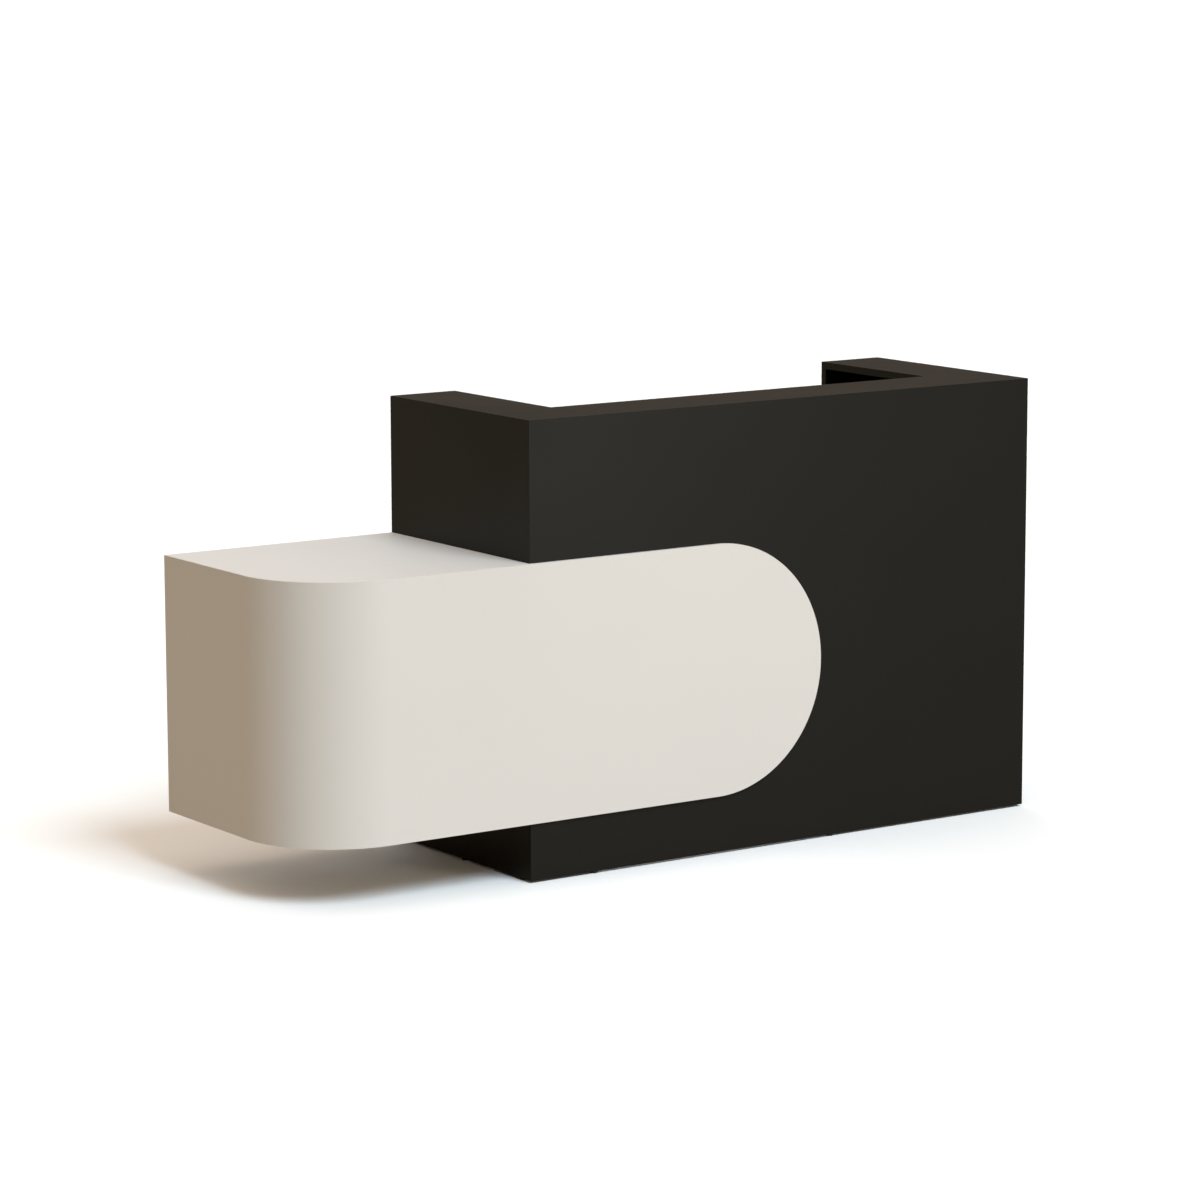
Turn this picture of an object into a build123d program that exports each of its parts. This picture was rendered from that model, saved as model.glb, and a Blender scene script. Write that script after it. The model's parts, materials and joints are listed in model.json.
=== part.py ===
from build123d import *
import os

# Checkout counter: a tall charcoal body with a U-shaped ledge, and a white low counter. The low counter
# hangs on the tall body's left side, and its bent skin runs on across the tall front to a half-round end.
#
# Frame: +X to the customer's right, +Y from the customers to the staff, +Z up. The origin is on the
# floor, under the centre of the whole counter. Millimetres.

os.makedirs("parts", exist_ok=True)

# Driving dimensions
LENGTH = 2100.0  # whole counter, along X
TALL_LENGTH = 1480.0  # tall body
TALL_DEPTH = 600.0
HEIGHT = 1080.0
LEDGE = 183.0  # width of the U-shaped top ledge
BOARD = 18.0
SKIN = 9.0  # bending board of the white skin
WORK_HEIGHT = 750.0  # low counter and desktop
LOW_BOTTOM = 142.0  # underside of the low counter
CORNER_RADIUS = 235.0  # outside of the skin's bend, in plan
END_CENTRE = 530.0  # centre of the half-round end, from the tall body's left face
GLIDE_HEIGHT = 5.0
DESKTOP_THICKNESS = 25.0
RECESS = 25.0  # drawer and door faces sit this far inside the rear edges

# Planes that the parts share
X_LOW = -LENGTH / 2
X_RIGHT = LENGTH / 2
X_TALL = X_RIGHT - TALL_LENGTH
DEPTH = TALL_DEPTH + SKIN
Y_SKIN = -DEPTH / 2
Y_FRONT = Y_SKIN + SKIN
Y_REAR = DEPTH / 2
Y_FACE = Y_REAR - RECESS
Z_DESK = WORK_HEIGHT - DESKTOP_THICKNESS
X_KNEE = X_TALL + LEDGE  # left limit of the knee space
X_INNER = X_RIGHT - LEDGE  # right limit of the drawers

# Pedestal and drawers
DRAWER_OPENING = 402.0
DRAWER_FRONT_HEIGHTS = (125.0, 190.0, 320.0)
DRAWER_BOX_HEIGHTS = (80.0, 140.0, 240.0)
DRAWER_DEPTH = 400.0
DRAWER_GAP = 3.0
DRAWER_SIDE_GAP = 2.0
DRAWER_BOARD = 12.0
DRAWER_LIFT = 15.0  # box underside above the front's lower edge
DRAWER_BOTTOM = 5.0
GROOVE = 6.0
GROOVE_LIFT = 8.0
RAIL_SETBACK = 2.0  # from the inner face of the drawer front
PLINTH_HEIGHT = 60.0
PLINTH_SETBACK = 40.0
X_DRAWERS = X_INNER - DRAWER_OPENING
X_PEDESTAL = X_DRAWERS - BOARD

# Telescopic slides: each member is a channel, given by its half height and by its span out of the carcass
SLIDE_SPACE = 13.0
SHEET = 1.2
SLIDE_MEMBERS = {
    "cabinet": (22.5, 0.0, 10.0),
    "middle": (19.7, 2.2, 9.2),
    "drawer": (16.5, 5.0, SLIDE_SPACE),
}
TRAY_SLIDE_SCALE = 0.55  # the keyboard tray's slides are lower

# Keyboard tray
TRAY_WIDTH = 600.0
TRAY_DEPTH = 320.0
TRAY_TOP = 638.0
TRAY_SETBACK = 20.0
HANGER_SHEET = 2.0
HANGER_FLANGE = 30.0

# Hardware
HANDLE_CENTRES = 128.0
HANDLE_BAR = 10.0
HANDLE_OVERHANG = 14.0
HANDLE_PROJECTION = 22.0
HANDLE_CHAMFER = 0.8
GROMMET_BORE = 30.0
BOLT_RADIUS = 4.0
PIN_RADIUS = 2.5
PIN_LENGTH = 14.0
HINGE_LENGTH = 50.0
HINGE_GAP = 3.0  # between a door's edge and the side it hangs on
KNUCKLE_RADIUS = 2.8
HINGE_PIN_RADIUS = 1.5
HINGE_AXIS = (3.2, 3.5)  # from the side's face, and from the door's face
LEAF = 1.3
LEAF_WIDTH = 20.0


def save(piece, name):
    """Label a finished piece and write it."""
    piece.part.label = name
    export_step(piece.part, f"parts/{name}.step")


def save_group(pieces, name):
    """Write several pieces that share one node, each as a solid of its own."""
    solids = [solid for piece in pieces for solid in piece.part.solids()]
    export_step(Compound(label=name, children=solids), f"parts/{name}.step")


def middle(span):
    return (span[0] + span[1]) / 2


def block(x, y, z, mode=Mode.ADD):
    """Fill the spans x, y and z, each (low, high), in the part in hand."""
    with Locations((middle(x), middle(y), middle(z))):
        Box(x[1] - x[0], y[1] - y[0], z[1] - z[0], mode=mode)


def mitre(origin, keep_side):
    """Cut the part in hand along a plane through origin, and keep the side that keep_side points to."""
    split(bisect_by=Plane(origin=origin, z_dir=keep_side), keep=Keep.TOP)


def bar_along(axis, centre, radius, length, mode=Mode.ADD):
    """A round bar in the part in hand, along the X, Y or Z axis and centred on a point."""
    turn = {"X": (0, 90, 0), "Y": (90, 0, 0), "Z": (0, 0, 0)}[axis]
    with Locations(Location(centre, turn)):
        Cylinder(radius, length, mode=mode)


# ------------------------------------------------ Tall body: outer panels, mitred at every corner

FRONT_LEFT = (X_TALL, Y_FRONT, HEIGHT)
FRONT_RIGHT = (X_RIGHT, Y_FRONT, HEIGHT)
REAR_LEFT = (X_TALL, Y_REAR, HEIGHT)
REAR_RIGHT = (X_RIGHT, Y_REAR, HEIGHT)
PANEL_Z = (GLIDE_HEIGHT, HEIGHT)
LEDGE_Z = (HEIGHT - BOARD, HEIGHT)

# Four bolts hang the low counter on the tall body's left side
BOLT_POINTS = [(y, z) for y in (-180.0, 180.0) for z in (250.0, 640.0)]


def bolt_holes():
    """Clearance holes for the joining bolts, through both boards at the tall body's left face."""
    for y, z in BOLT_POINTS:
        bar_along("X", (X_TALL, y, z), BOLT_RADIUS + 0.2, 4 * BOARD, Mode.SUBTRACT)


with BuildPart() as front_panel:
    block((X_TALL, X_RIGHT), (Y_FRONT, Y_FRONT + BOARD), PANEL_Z)
    mitre(FRONT_LEFT, (1, -1, 0))
    mitre(FRONT_RIGHT, (-1, -1, 0))
    mitre(FRONT_LEFT, (0, -1, -1))
save(front_panel, "front_panel")

with BuildPart() as left_side_panel:
    block((X_TALL, X_TALL + BOARD), (Y_FRONT, Y_REAR), PANEL_Z)
    mitre(FRONT_LEFT, (-1, 1, 0))
    mitre(REAR_LEFT, (-1, -1, 0))
    mitre(FRONT_LEFT, (-1, 0, -1))
    bolt_holes()
save(left_side_panel, "left_side_panel")

with BuildPart() as right_side_panel:
    block((X_RIGHT - BOARD, X_RIGHT), (Y_FRONT, Y_REAR), PANEL_Z)
    mitre(FRONT_RIGHT, (1, 1, 0))
    mitre(REAR_RIGHT, (1, -1, 0))
    mitre(FRONT_RIGHT, (1, 0, -1))
save(right_side_panel, "right_side_panel")

with BuildPart() as left_end_post:
    block((X_TALL, X_KNEE), (Y_REAR - BOARD, Y_REAR), PANEL_Z)
    mitre(REAR_LEFT, (1, 1, 0))
    mitre(REAR_LEFT, (0, 1, -1))
save(left_end_post, "left_end_post")

with BuildPart() as right_end_post:
    block((X_INNER, X_RIGHT), (Y_REAR - BOARD, Y_REAR), PANEL_Z)
    mitre(REAR_RIGHT, (-1, 1, 0))
    mitre(REAR_RIGHT, (0, 1, -1))
save(right_end_post, "right_end_post")

# ------------------------------------------------ Tall body: ledge and its supports

with BuildPart() as front_ledge:
    block((X_TALL, X_RIGHT), (Y_FRONT, Y_FRONT + LEDGE), LEDGE_Z)
    mitre(FRONT_LEFT, (0, 1, 1))
    mitre(FRONT_LEFT, (1, -1, 0))
    mitre(FRONT_RIGHT, (-1, -1, 0))
save(front_ledge, "front_ledge")

with BuildPart() as left_ledge:
    block((X_TALL, X_KNEE), (Y_FRONT, Y_REAR), LEDGE_Z)
    mitre(FRONT_LEFT, (1, 0, 1))
    mitre(FRONT_LEFT, (-1, 1, 0))
    mitre(REAR_LEFT, (0, -1, 1))
save(left_ledge, "left_ledge")

with BuildPart() as right_ledge:
    block((X_INNER, X_RIGHT), (Y_FRONT, Y_REAR), LEDGE_Z)
    mitre(FRONT_RIGHT, (-1, 0, 1))
    mitre(FRONT_RIGHT, (1, 1, 0))
    mitre(REAR_RIGHT, (0, -1, 1))
save(right_ledge, "right_ledge")

GUSSET_SETBACK = 15.0
GUSSET_COUNT = 3
GUSSET_PITCH = (X_INNER - X_KNEE) / (GUSSET_COUNT + 1)

with BuildPart() as ledge_gussets:
    for n in range(1, GUSSET_COUNT + 1):
        x = X_KNEE + n * GUSSET_PITCH
        block(
            (x - BOARD / 2, x + BOARD / 2),
            (Y_FRONT + BOARD, Y_FRONT + LEDGE - GUSSET_SETBACK),
            (WORK_HEIGHT, HEIGHT - BOARD),
        )
save(ledge_gussets, "ledge_gussets")

# ------------------------------------------------ Tall body: desktop and what carries it

GROMMET_INSET = 110.0  # from either side of the knee space
GROMMET_Y = Y_FRONT + LEDGE + 38.0
GROMMET_POINTS = {
    "left": (X_KNEE + GROMMET_INSET, GROMMET_Y),
    "right": (X_PEDESTAL - GROMMET_INSET, GROMMET_Y),
}

with BuildPart() as desktop:
    with BuildSketch(Plane.XY.offset(Z_DESK)):
        with BuildLine():
            Polyline(
                (X_TALL + BOARD, Y_FRONT + BOARD),
                (X_RIGHT - BOARD, Y_FRONT + BOARD),
                (X_RIGHT - BOARD, Y_REAR - BOARD),
                (X_INNER, Y_REAR - BOARD),
                (X_INNER, Y_REAR),
                (X_KNEE, Y_REAR),
                (X_KNEE, Y_REAR - BOARD),
                (X_TALL + BOARD, Y_REAR - BOARD),
                close=True,
            )
        make_face()
        with Locations(*GROMMET_POINTS.values()):
            Circle(GROMMET_BORE, mode=Mode.SUBTRACT)
    extrude(amount=DESKTOP_THICKNESS)
    fillet(desktop.edges().filter_by(Axis.X).group_by(Axis.Y)[-1], 3.0)
save(desktop, "desktop")

with BuildPart() as left_inner_panel:
    block((X_KNEE - BOARD, X_KNEE), (Y_FRONT + BOARD, Y_REAR - BOARD), (GLIDE_HEIGHT, Z_DESK))
save(left_inner_panel, "left_inner_panel")

with BuildPart() as right_inner_panel:
    block((X_INNER, X_INNER + BOARD), (Y_FRONT + BOARD, Y_REAR - BOARD), (GLIDE_HEIGHT, Z_DESK))
save(right_inner_panel, "right_inner_panel")

CLEAT = 30.0

with BuildPart() as desktop_cleat:
    block((X_KNEE, X_PEDESTAL), (Y_FRONT + BOARD, Y_FRONT + BOARD + CLEAT), (Z_DESK - CLEAT, Z_DESK))
    chamfer(desktop_cleat.edges().filter_by(Axis.X).group_by(Axis.Z)[0].sort_by(Axis.Y)[-1:], 4.0)
save(desktop_cleat, "desktop_cleat")

# ------------------------------------------------ Cable grommets

RING_FLANGE = 4.0  # how far the ring's flange covers the desktop round the bore
RING_WALL = 3.0
RING_RIM = 3.0
CAP_RADIUS = GROMMET_BORE - RING_WALL - 0.4
CAP_THICKNESS = 3.5
CAP_SEAT = WORK_HEIGHT - 1.0
NOTCH_WIDTH = 14.0
NOTCH_DEPTH = 16.0

with BuildPart() as grommet_rings:
    for x, y in GROMMET_POINTS.values():
        with BuildSketch(Plane.XY.offset(WORK_HEIGHT)):
            with Locations((x, y)):
                Circle(GROMMET_BORE + RING_FLANGE)
                Circle(GROMMET_BORE - RING_WALL, mode=Mode.SUBTRACT)
        extrude(amount=RING_RIM, taper=20)
        with BuildSketch(Plane.XY.offset(CAP_SEAT)):
            with Locations((x, y)):
                Circle(GROMMET_BORE)
                Circle(GROMMET_BORE - RING_WALL, mode=Mode.SUBTRACT)
        extrude(amount=WORK_HEIGHT - CAP_SEAT)
        with BuildSketch(Plane.XY.offset(CAP_SEAT)):
            with Locations((x, y)):
                Circle(GROMMET_BORE)
                Circle(GROMMET_BORE - 2 * RING_WALL, mode=Mode.SUBTRACT)
        extrude(amount=-(DESKTOP_THICKNESS - 4.0))
save(grommet_rings, "grommet_rings")


def grommet_cap(x, y):
    """A round cap with a U-shaped notch for cables, which turns in its ring."""
    with BuildPart() as cap:
        with BuildSketch(Plane.XY.offset(CAP_SEAT)):
            with Locations((x, y)):
                Circle(CAP_RADIUS)
            notch_floor = y + CAP_RADIUS - NOTCH_DEPTH + NOTCH_WIDTH / 2
            with Locations((x, notch_floor)):
                Circle(NOTCH_WIDTH / 2, mode=Mode.SUBTRACT)
            with Locations((x, notch_floor + CAP_RADIUS / 2)):
                Rectangle(NOTCH_WIDTH, CAP_RADIUS, mode=Mode.SUBTRACT)
        extrude(amount=CAP_THICKNESS)
        chamfer(cap.edges().group_by(Axis.Z)[-1], 0.6)
    return cap


for side, (x, y) in GROMMET_POINTS.items():
    save(grommet_cap(x, y), f"{side}_grommet_cap")

# ------------------------------------------------ Pedestal carcass

with BuildPart() as pedestal_side:
    block((X_PEDESTAL, X_DRAWERS), (Y_FRONT + BOARD, Y_FACE), (GLIDE_HEIGHT, Z_DESK))
save(pedestal_side, "pedestal_side")

PEDESTAL_FLOOR = PLINTH_HEIGHT + BOARD

with BuildPart() as pedestal_bottom:
    block((X_DRAWERS, X_INNER), (Y_FRONT + BOARD, Y_FACE), (PLINTH_HEIGHT, PEDESTAL_FLOOR))
save(pedestal_bottom, "pedestal_bottom")

with BuildPart() as pedestal_plinth:
    rear = Y_FACE - PLINTH_SETBACK
    block((X_DRAWERS, X_INNER), (rear - BOARD, rear), (GLIDE_HEIGHT, PLINTH_HEIGHT))
save(pedestal_plinth, "pedestal_plinth")

# ------------------------------------------------ Slides


def slide_channel(wall_x, outward, member, y, z, scale):
    """One slide member, a channel along Y. It hangs on the face at wall_x; outward is +1 or -1 along X."""
    half, near, far = member
    half *= scale
    opens_outward = far < SLIDE_SPACE
    web = (near + SHEET, far + 1) if opens_outward else (near - 1, far - SHEET)
    body_x = sorted((wall_x + outward * near, wall_x + outward * far))
    hollow_x = sorted((wall_x + outward * web[0], wall_x + outward * web[1]))
    with BuildPart() as channel:
        block(body_x, y, (z - half, z + half))
        block(hollow_x, (y[0] - 1, y[1] + 1), (z - half + SHEET, z + half - SHEET), Mode.SUBTRACT)
    return channel


def slide_pair(walls, member, y, z, scale=1.0):
    """The left and the right slide member of one drawer or tray."""
    return [slide_channel(wall, outward, member, y, z, scale) for wall, outward in zip(walls, (1, -1))]


# ------------------------------------------------ Handles


def bar_handle(x, z, axis):
    """A round bar on two posts, standing on the rear face Y_FACE. The bar lies along X or Z."""
    reach = Y_FACE + HANDLE_PROJECTION - HANDLE_BAR / 2
    step = HANDLE_CENTRES / 2
    with BuildPart() as handle:
        bar_along(axis, (x, reach, z), HANDLE_BAR / 2, HANDLE_CENTRES + 2 * HANDLE_OVERHANG)
        for side in (-step, step):
            shift = (side, 0) if axis == "X" else (0, side)
            post = (x + shift[0], (Y_FACE + reach) / 2, z + shift[1])
            bar_along("Y", post, HANDLE_BAR / 2 - 1, reach - Y_FACE)
        ends = handle.faces().filter_by({"X": Axis.X, "Z": Axis.Z}[axis])
        chamfer(ends.edges(), HANDLE_CHAMFER)
    return handle


# ------------------------------------------------ Drawers

LOCK_INSET = 40.0
LOCK_DROP = 30.0
LOCK_X = X_INNER - DRAWER_SIDE_GAP - LOCK_INSET
LOCK_Z = Z_DESK - DRAWER_GAP - LOCK_DROP
LOCK_HOUSING = 9.5
LOCK_BARREL = 6.0


def drawer_front(z, has_lock):
    """The face board of a drawer, with a hole for the lock in the top one."""
    with BuildPart() as front:
        block(
            (X_DRAWERS + DRAWER_SIDE_GAP, X_INNER - DRAWER_SIDE_GAP),
            (Y_FACE - BOARD, Y_FACE),
            z,
        )
        if has_lock:
            bar_along("Y", (LOCK_X, Y_FACE, LOCK_Z), LOCK_HOUSING, 3 * BOARD, Mode.SUBTRACT)
    return front


def board(x, y, z):
    """A plain rectangular board."""
    with BuildPart() as plain:
        block(x, y, z)
    return plain


def drawer_box(base, height):
    """Two grooved sides, a back and a bottom, as separate boards."""
    outer = (X_DRAWERS + SLIDE_SPACE, X_INNER - SLIDE_SPACE)
    inner = (outer[0] + DRAWER_BOARD, outer[1] - DRAWER_BOARD)
    y = (Y_FACE - BOARD - DRAWER_DEPTH, Y_FACE - BOARD)
    bottom_x = (inner[0] - GROOVE, inner[1] + GROOVE)
    bottom_z = (base + GROOVE_LIFT, base + GROOVE_LIFT + DRAWER_BOTTOM)
    boards = []
    for side_x in ((outer[0], inner[0]), (inner[1], outer[1])):
        with BuildPart() as side_board:
            block(side_x, y, (base, base + height))
            block(bottom_x, y, bottom_z, Mode.SUBTRACT)
        boards.append(side_board)
    boards.append(board(inner, (y[0], y[0] + DRAWER_BOARD), (bottom_z[1], base + height)))
    boards.append(board(bottom_x, y, bottom_z))
    return boards


cabinet_rails = []
top = Z_DESK - DRAWER_GAP
for number, (front_height, box_height) in enumerate(zip(DRAWER_FRONT_HEIGHTS, DRAWER_BOX_HEIGHTS), 1):
    name = f"drawer_{number}"
    walls = (X_DRAWERS, X_INNER)
    base = top - front_height + DRAWER_LIFT
    slide_y = (Y_FACE - BOARD - DRAWER_DEPTH, Y_FACE - BOARD - RAIL_SETBACK)
    slide_z = base + box_height / 2
    save(drawer_front((top - front_height, top), number == 1), f"{name}_front")
    save_group(drawer_box(base, box_height), f"{name}_box")
    save(bar_handle(middle(walls), top - front_height / 2, "X"), f"{name}_handle")
    save_group(slide_pair(walls, SLIDE_MEMBERS["middle"], slide_y, slide_z), f"{name}_middle_rails")
    save_group(slide_pair(walls, SLIDE_MEMBERS["drawer"], slide_y, slide_z), f"{name}_rails")
    cabinet_rails += slide_pair(walls, SLIDE_MEMBERS["cabinet"], slide_y, slide_z)
    top -= front_height + DRAWER_GAP
save_group(cabinet_rails, "pedestal_rails")

# ------------------------------------------------ Lock and key of the top drawer

FLANGE_RADIUS = 11.5
FLANGE = 2.0
HOUSING_TAIL = 8.0  # past the inner face of the drawer front
KEYWAY = (1.2, 7.0, 12.0)  # width, height, depth
KEY_CLEARANCE = 0.1
KEY_BOW = 8.5
CAM = (24.0, 10.0, 3.0)  # length from the barrel's axis, width, thickness
STRIKE = (30.0, 1.5, 16.0)  # width, thickness, and drop below the desktop
STRIKE_FOOT = 14.0  # how far the strike's upper leg reaches towards the customers
STRIKE_GAP = 1.5  # from the strike to the cam when it is turned up
LOCK_FACE = Y_FACE + FLANGE
LOCK_TAIL = Y_FACE - BOARD - HOUSING_TAIL

with BuildPart() as lock_housing:
    bar_along("Y", (LOCK_X, Y_FACE + FLANGE / 2, LOCK_Z), FLANGE_RADIUS, FLANGE)
    bar_along("Y", (LOCK_X, (Y_FACE + LOCK_TAIL) / 2, LOCK_Z), LOCK_HOUSING, Y_FACE - LOCK_TAIL)
    bar_along("Y", (LOCK_X, Y_FACE, LOCK_Z), LOCK_BARREL + 0.05, 4 * BOARD, Mode.SUBTRACT)
    face_rims = lock_housing.edges().filter_by(GeomType.CIRCLE).group_by(Axis.Y)[-1]
    chamfer(face_rims.sort_by(SortBy.RADIUS)[-1:], 0.8)
save(lock_housing, "drawer_lock_housing")

with BuildPart() as lock_barrel:
    tail = LOCK_TAIL - 1.0
    bar_along("Y", (LOCK_X, (LOCK_FACE + tail) / 2, LOCK_Z), LOCK_BARREL, LOCK_FACE - tail)
    block(
        (LOCK_X - CAM[0], LOCK_X + CAM[1] / 2),
        (tail - CAM[2], tail),
        (LOCK_Z - CAM[1] / 2, LOCK_Z + CAM[1] / 2),
    )
    block(
        (LOCK_X - KEYWAY[0] / 2, LOCK_X + KEYWAY[0] / 2),
        (LOCK_FACE - KEYWAY[2], LOCK_FACE + 1),
        (LOCK_Z - KEYWAY[1] / 2, LOCK_Z + KEYWAY[1] / 2),
        Mode.SUBTRACT,
    )
save(lock_barrel, "drawer_lock_barrel")

with BuildPart() as lock_strike:
    strike_y = LOCK_TAIL - 1.0 + STRIKE_GAP
    strike_x = (LOCK_X - STRIKE[0] / 2, LOCK_X + STRIKE[0] / 2)
    block(strike_x, (strike_y, strike_y + STRIKE[1]), (Z_DESK - STRIKE[2], Z_DESK))
    block(strike_x, (strike_y - STRIKE_FOOT, strike_y), (Z_DESK - STRIKE[1], Z_DESK))
save(lock_strike, "drawer_lock_strike")

with BuildPart() as drawer_key:
    blade_x = (LOCK_X - KEYWAY[0] / 2 + KEY_CLEARANCE, LOCK_X + KEYWAY[0] / 2 - KEY_CLEARANCE)
    bow_y = LOCK_FACE + 2.0 + KEY_BOW
    block(
        blade_x,
        (LOCK_FACE - KEYWAY[2] + 1, bow_y),
        (LOCK_Z - KEYWAY[1] / 2 + KEY_CLEARANCE, LOCK_Z + KEYWAY[1] / 2 - KEY_CLEARANCE),
    )
    bar_along("X", (LOCK_X, bow_y, LOCK_Z), KEY_BOW, 2.0)
    bar_along("X", (LOCK_X, bow_y + 4.0, LOCK_Z), 2.0, 4.0, Mode.SUBTRACT)
save(drawer_key, "drawer_key")

# ------------------------------------------------ Keyboard tray

TRAY_X = ((X_KNEE + X_PEDESTAL - TRAY_WIDTH) / 2, (X_KNEE + X_PEDESTAL + TRAY_WIDTH) / 2)
TRAY_Y = (Y_REAR - TRAY_SETBACK - TRAY_DEPTH, Y_REAR - TRAY_SETBACK)
TRAY_WALLS = (TRAY_X[0] - SLIDE_SPACE, TRAY_X[1] + SLIDE_SPACE)
TRAY_SLIDE_Y = (TRAY_Y[0], TRAY_Y[1] - 10.0)
TRAY_SLIDE_Z = TRAY_TOP - BOARD / 2

with BuildPart() as keyboard_tray:
    block(TRAY_X, TRAY_Y, (TRAY_TOP - BOARD, TRAY_TOP))
    fillet(keyboard_tray.edges().filter_by(Axis.X).group_by(Axis.Y)[-1], 3.0)
save(keyboard_tray, "keyboard_tray")

hangers = slide_pair(TRAY_WALLS, SLIDE_MEMBERS["cabinet"], TRAY_SLIDE_Y, TRAY_SLIDE_Z, TRAY_SLIDE_SCALE)
for wall, outward in zip(TRAY_WALLS, (-1, 1)):
    foot = TRAY_SLIDE_Z - SLIDE_MEMBERS["cabinet"][0] * TRAY_SLIDE_SCALE
    with BuildPart() as hanger_plate:
        for width, low in ((HANGER_SHEET, foot), (HANGER_FLANGE, Z_DESK - HANGER_SHEET)):
            block(sorted((wall, wall + outward * width)), TRAY_SLIDE_Y, (low, Z_DESK))
    hangers.append(hanger_plate)
save_group(hangers, "tray_hangers")

for member, name in (("middle", "tray_middle_rails"), ("drawer", "tray_rails")):
    rails = slide_pair(TRAY_WALLS, SLIDE_MEMBERS[member], TRAY_SLIDE_Y, TRAY_SLIDE_Z, TRAY_SLIDE_SCALE)
    save_group(rails, name)

# ------------------------------------------------ Low counter: skin, top, bottom and sides

BEND_CENTRE = (X_LOW + CORNER_RADIUS, Y_SKIN + CORNER_RADIUS)
END_RADIUS = (WORK_HEIGHT - LOW_BOTTOM) / 2
END_X = X_TALL + END_CENTRE
END_Z = (WORK_HEIGHT + LOW_BOTTOM) / 2

with BuildPart() as low_counter_skin:
    with BuildSketch(Plane.XY.offset(LOW_BOTTOM)):
        with BuildLine():
            for inset in (0.0, SKIN):
                Line((X_LOW + inset, Y_REAR), (X_LOW + inset, BEND_CENTRE[1]))
                CenterArc(BEND_CENTRE, CORNER_RADIUS - inset, 180, 90)
                Line((BEND_CENTRE[0], Y_SKIN + inset), (END_X + END_RADIUS, Y_SKIN + inset))
            Line((X_LOW, Y_REAR), (X_LOW + SKIN, Y_REAR))
            Line((END_X + END_RADIUS, Y_SKIN), (END_X + END_RADIUS, Y_SKIN + SKIN))
        make_face()
    extrude(amount=WORK_HEIGHT - LOW_BOTTOM)
    # The half-round end: what lies past the end's centre and outside its circle is cut away
    with BuildSketch(Plane.XZ.offset(-Y_FRONT - 1)):
        with Locations((END_X + END_RADIUS, END_Z)):
            Rectangle(2 * END_RADIUS, 3 * END_RADIUS)
        with Locations((END_X, END_Z)):
            Circle(END_RADIUS, mode=Mode.SUBTRACT)
    extrude(amount=SKIN + 2, mode=Mode.SUBTRACT)
save(low_counter_skin, "low_counter_skin")


def low_counter_board(z, edge, x_end, y_end):
    """A board that follows the bend, with its edge a given distance inside the skin's outer face."""
    with BuildPart() as bent_board:
        with BuildSketch(Plane.XY.offset(z[0])):
            with BuildLine():
                Line((X_LOW + edge, y_end), (X_LOW + edge, BEND_CENTRE[1]))
                CenterArc(BEND_CENTRE, CORNER_RADIUS - edge, 180, 90)
                Polyline(
                    (BEND_CENTRE[0], Y_SKIN + edge),
                    (x_end, Y_SKIN + edge),
                    (x_end, y_end),
                    (X_LOW + edge, y_end),
                )
            make_face()
        extrude(amount=z[1] - z[0])
    return bent_board


LOW_FLOOR = LOW_BOTTOM + BOARD
LOW_CEILING = WORK_HEIGHT - BOARD
SHELF_Z = (437.0, 437.0 + BOARD)
SHELF_GAP = 1.0
SHELF_END = Y_FACE - BOARD - 6.0

save(low_counter_board((LOW_CEILING, WORK_HEIGHT), SKIN, X_TALL, Y_REAR), "low_counter_top")
save(low_counter_board((LOW_BOTTOM, LOW_FLOOR), SKIN, X_TALL, Y_REAR), "low_counter_bottom")
shelf = low_counter_board(SHELF_Z, SKIN + BOARD + SHELF_GAP, X_TALL - BOARD - SHELF_GAP, SHELF_END)
save(shelf, "low_counter_shelf")

DOOR_LEFT = X_LOW + SKIN + BOARD  # inner face of the outer side
DOOR_RIGHT = X_TALL - BOARD  # inner face of the inner side
PIN_Z = SHELF_Z[0] - PIN_RADIUS
PIN_POINTS = [(x, y, PIN_Z) for x in (DOOR_LEFT, DOOR_RIGHT) for y in (-40.0, 220.0)]

with BuildPart() as shelf_pins:
    for point in PIN_POINTS:
        bar_along("X", point, PIN_RADIUS, PIN_LENGTH)
save(shelf_pins, "shelf_pins")

with BuildPart() as outer_side:
    block((X_LOW + SKIN, DOOR_LEFT), (BEND_CENTRE[1], Y_REAR), (LOW_FLOOR, LOW_CEILING))
    for point in PIN_POINTS:
        bar_along("X", point, PIN_RADIUS, PIN_LENGTH, Mode.SUBTRACT)
save(outer_side, "low_counter_outer_side")

with BuildPart() as inner_side:
    block((DOOR_RIGHT, X_TALL), (Y_FRONT, Y_REAR), (LOW_FLOOR, LOW_CEILING))
    for point in PIN_POINTS:
        bar_along("X", point, PIN_RADIUS, PIN_LENGTH, Mode.SUBTRACT)
    bolt_holes()
save(inner_side, "low_counter_inner_side")

# ------------------------------------------------ Joining bolts

HEAD_RADIUS = 7.5
HEAD_HEIGHT = 5.3
NUT_HEIGHT = 6.5
THREAD_TAIL = 4.0

with BuildPart() as joining_bolts:
    for y, z in BOLT_POINTS:
        shank = (X_TALL - BOARD - HEAD_HEIGHT, X_TALL + BOARD + NUT_HEIGHT + THREAD_TAIL)
        bar_along("X", (middle(shank), y, z), BOLT_RADIUS, shank[1] - shank[0])
        for start, height in ((shank[0], HEAD_HEIGHT), (X_TALL + BOARD, NUT_HEIGHT)):
            with BuildSketch(Plane(origin=(start, y, z), x_dir=(0, 1, 0), z_dir=(1, 0, 0))):
                RegularPolygon(HEAD_RADIUS, 6)
            extrude(amount=height)
save(joining_bolts, "joining_bolts")

# ------------------------------------------------ Doors and their hinges

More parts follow.
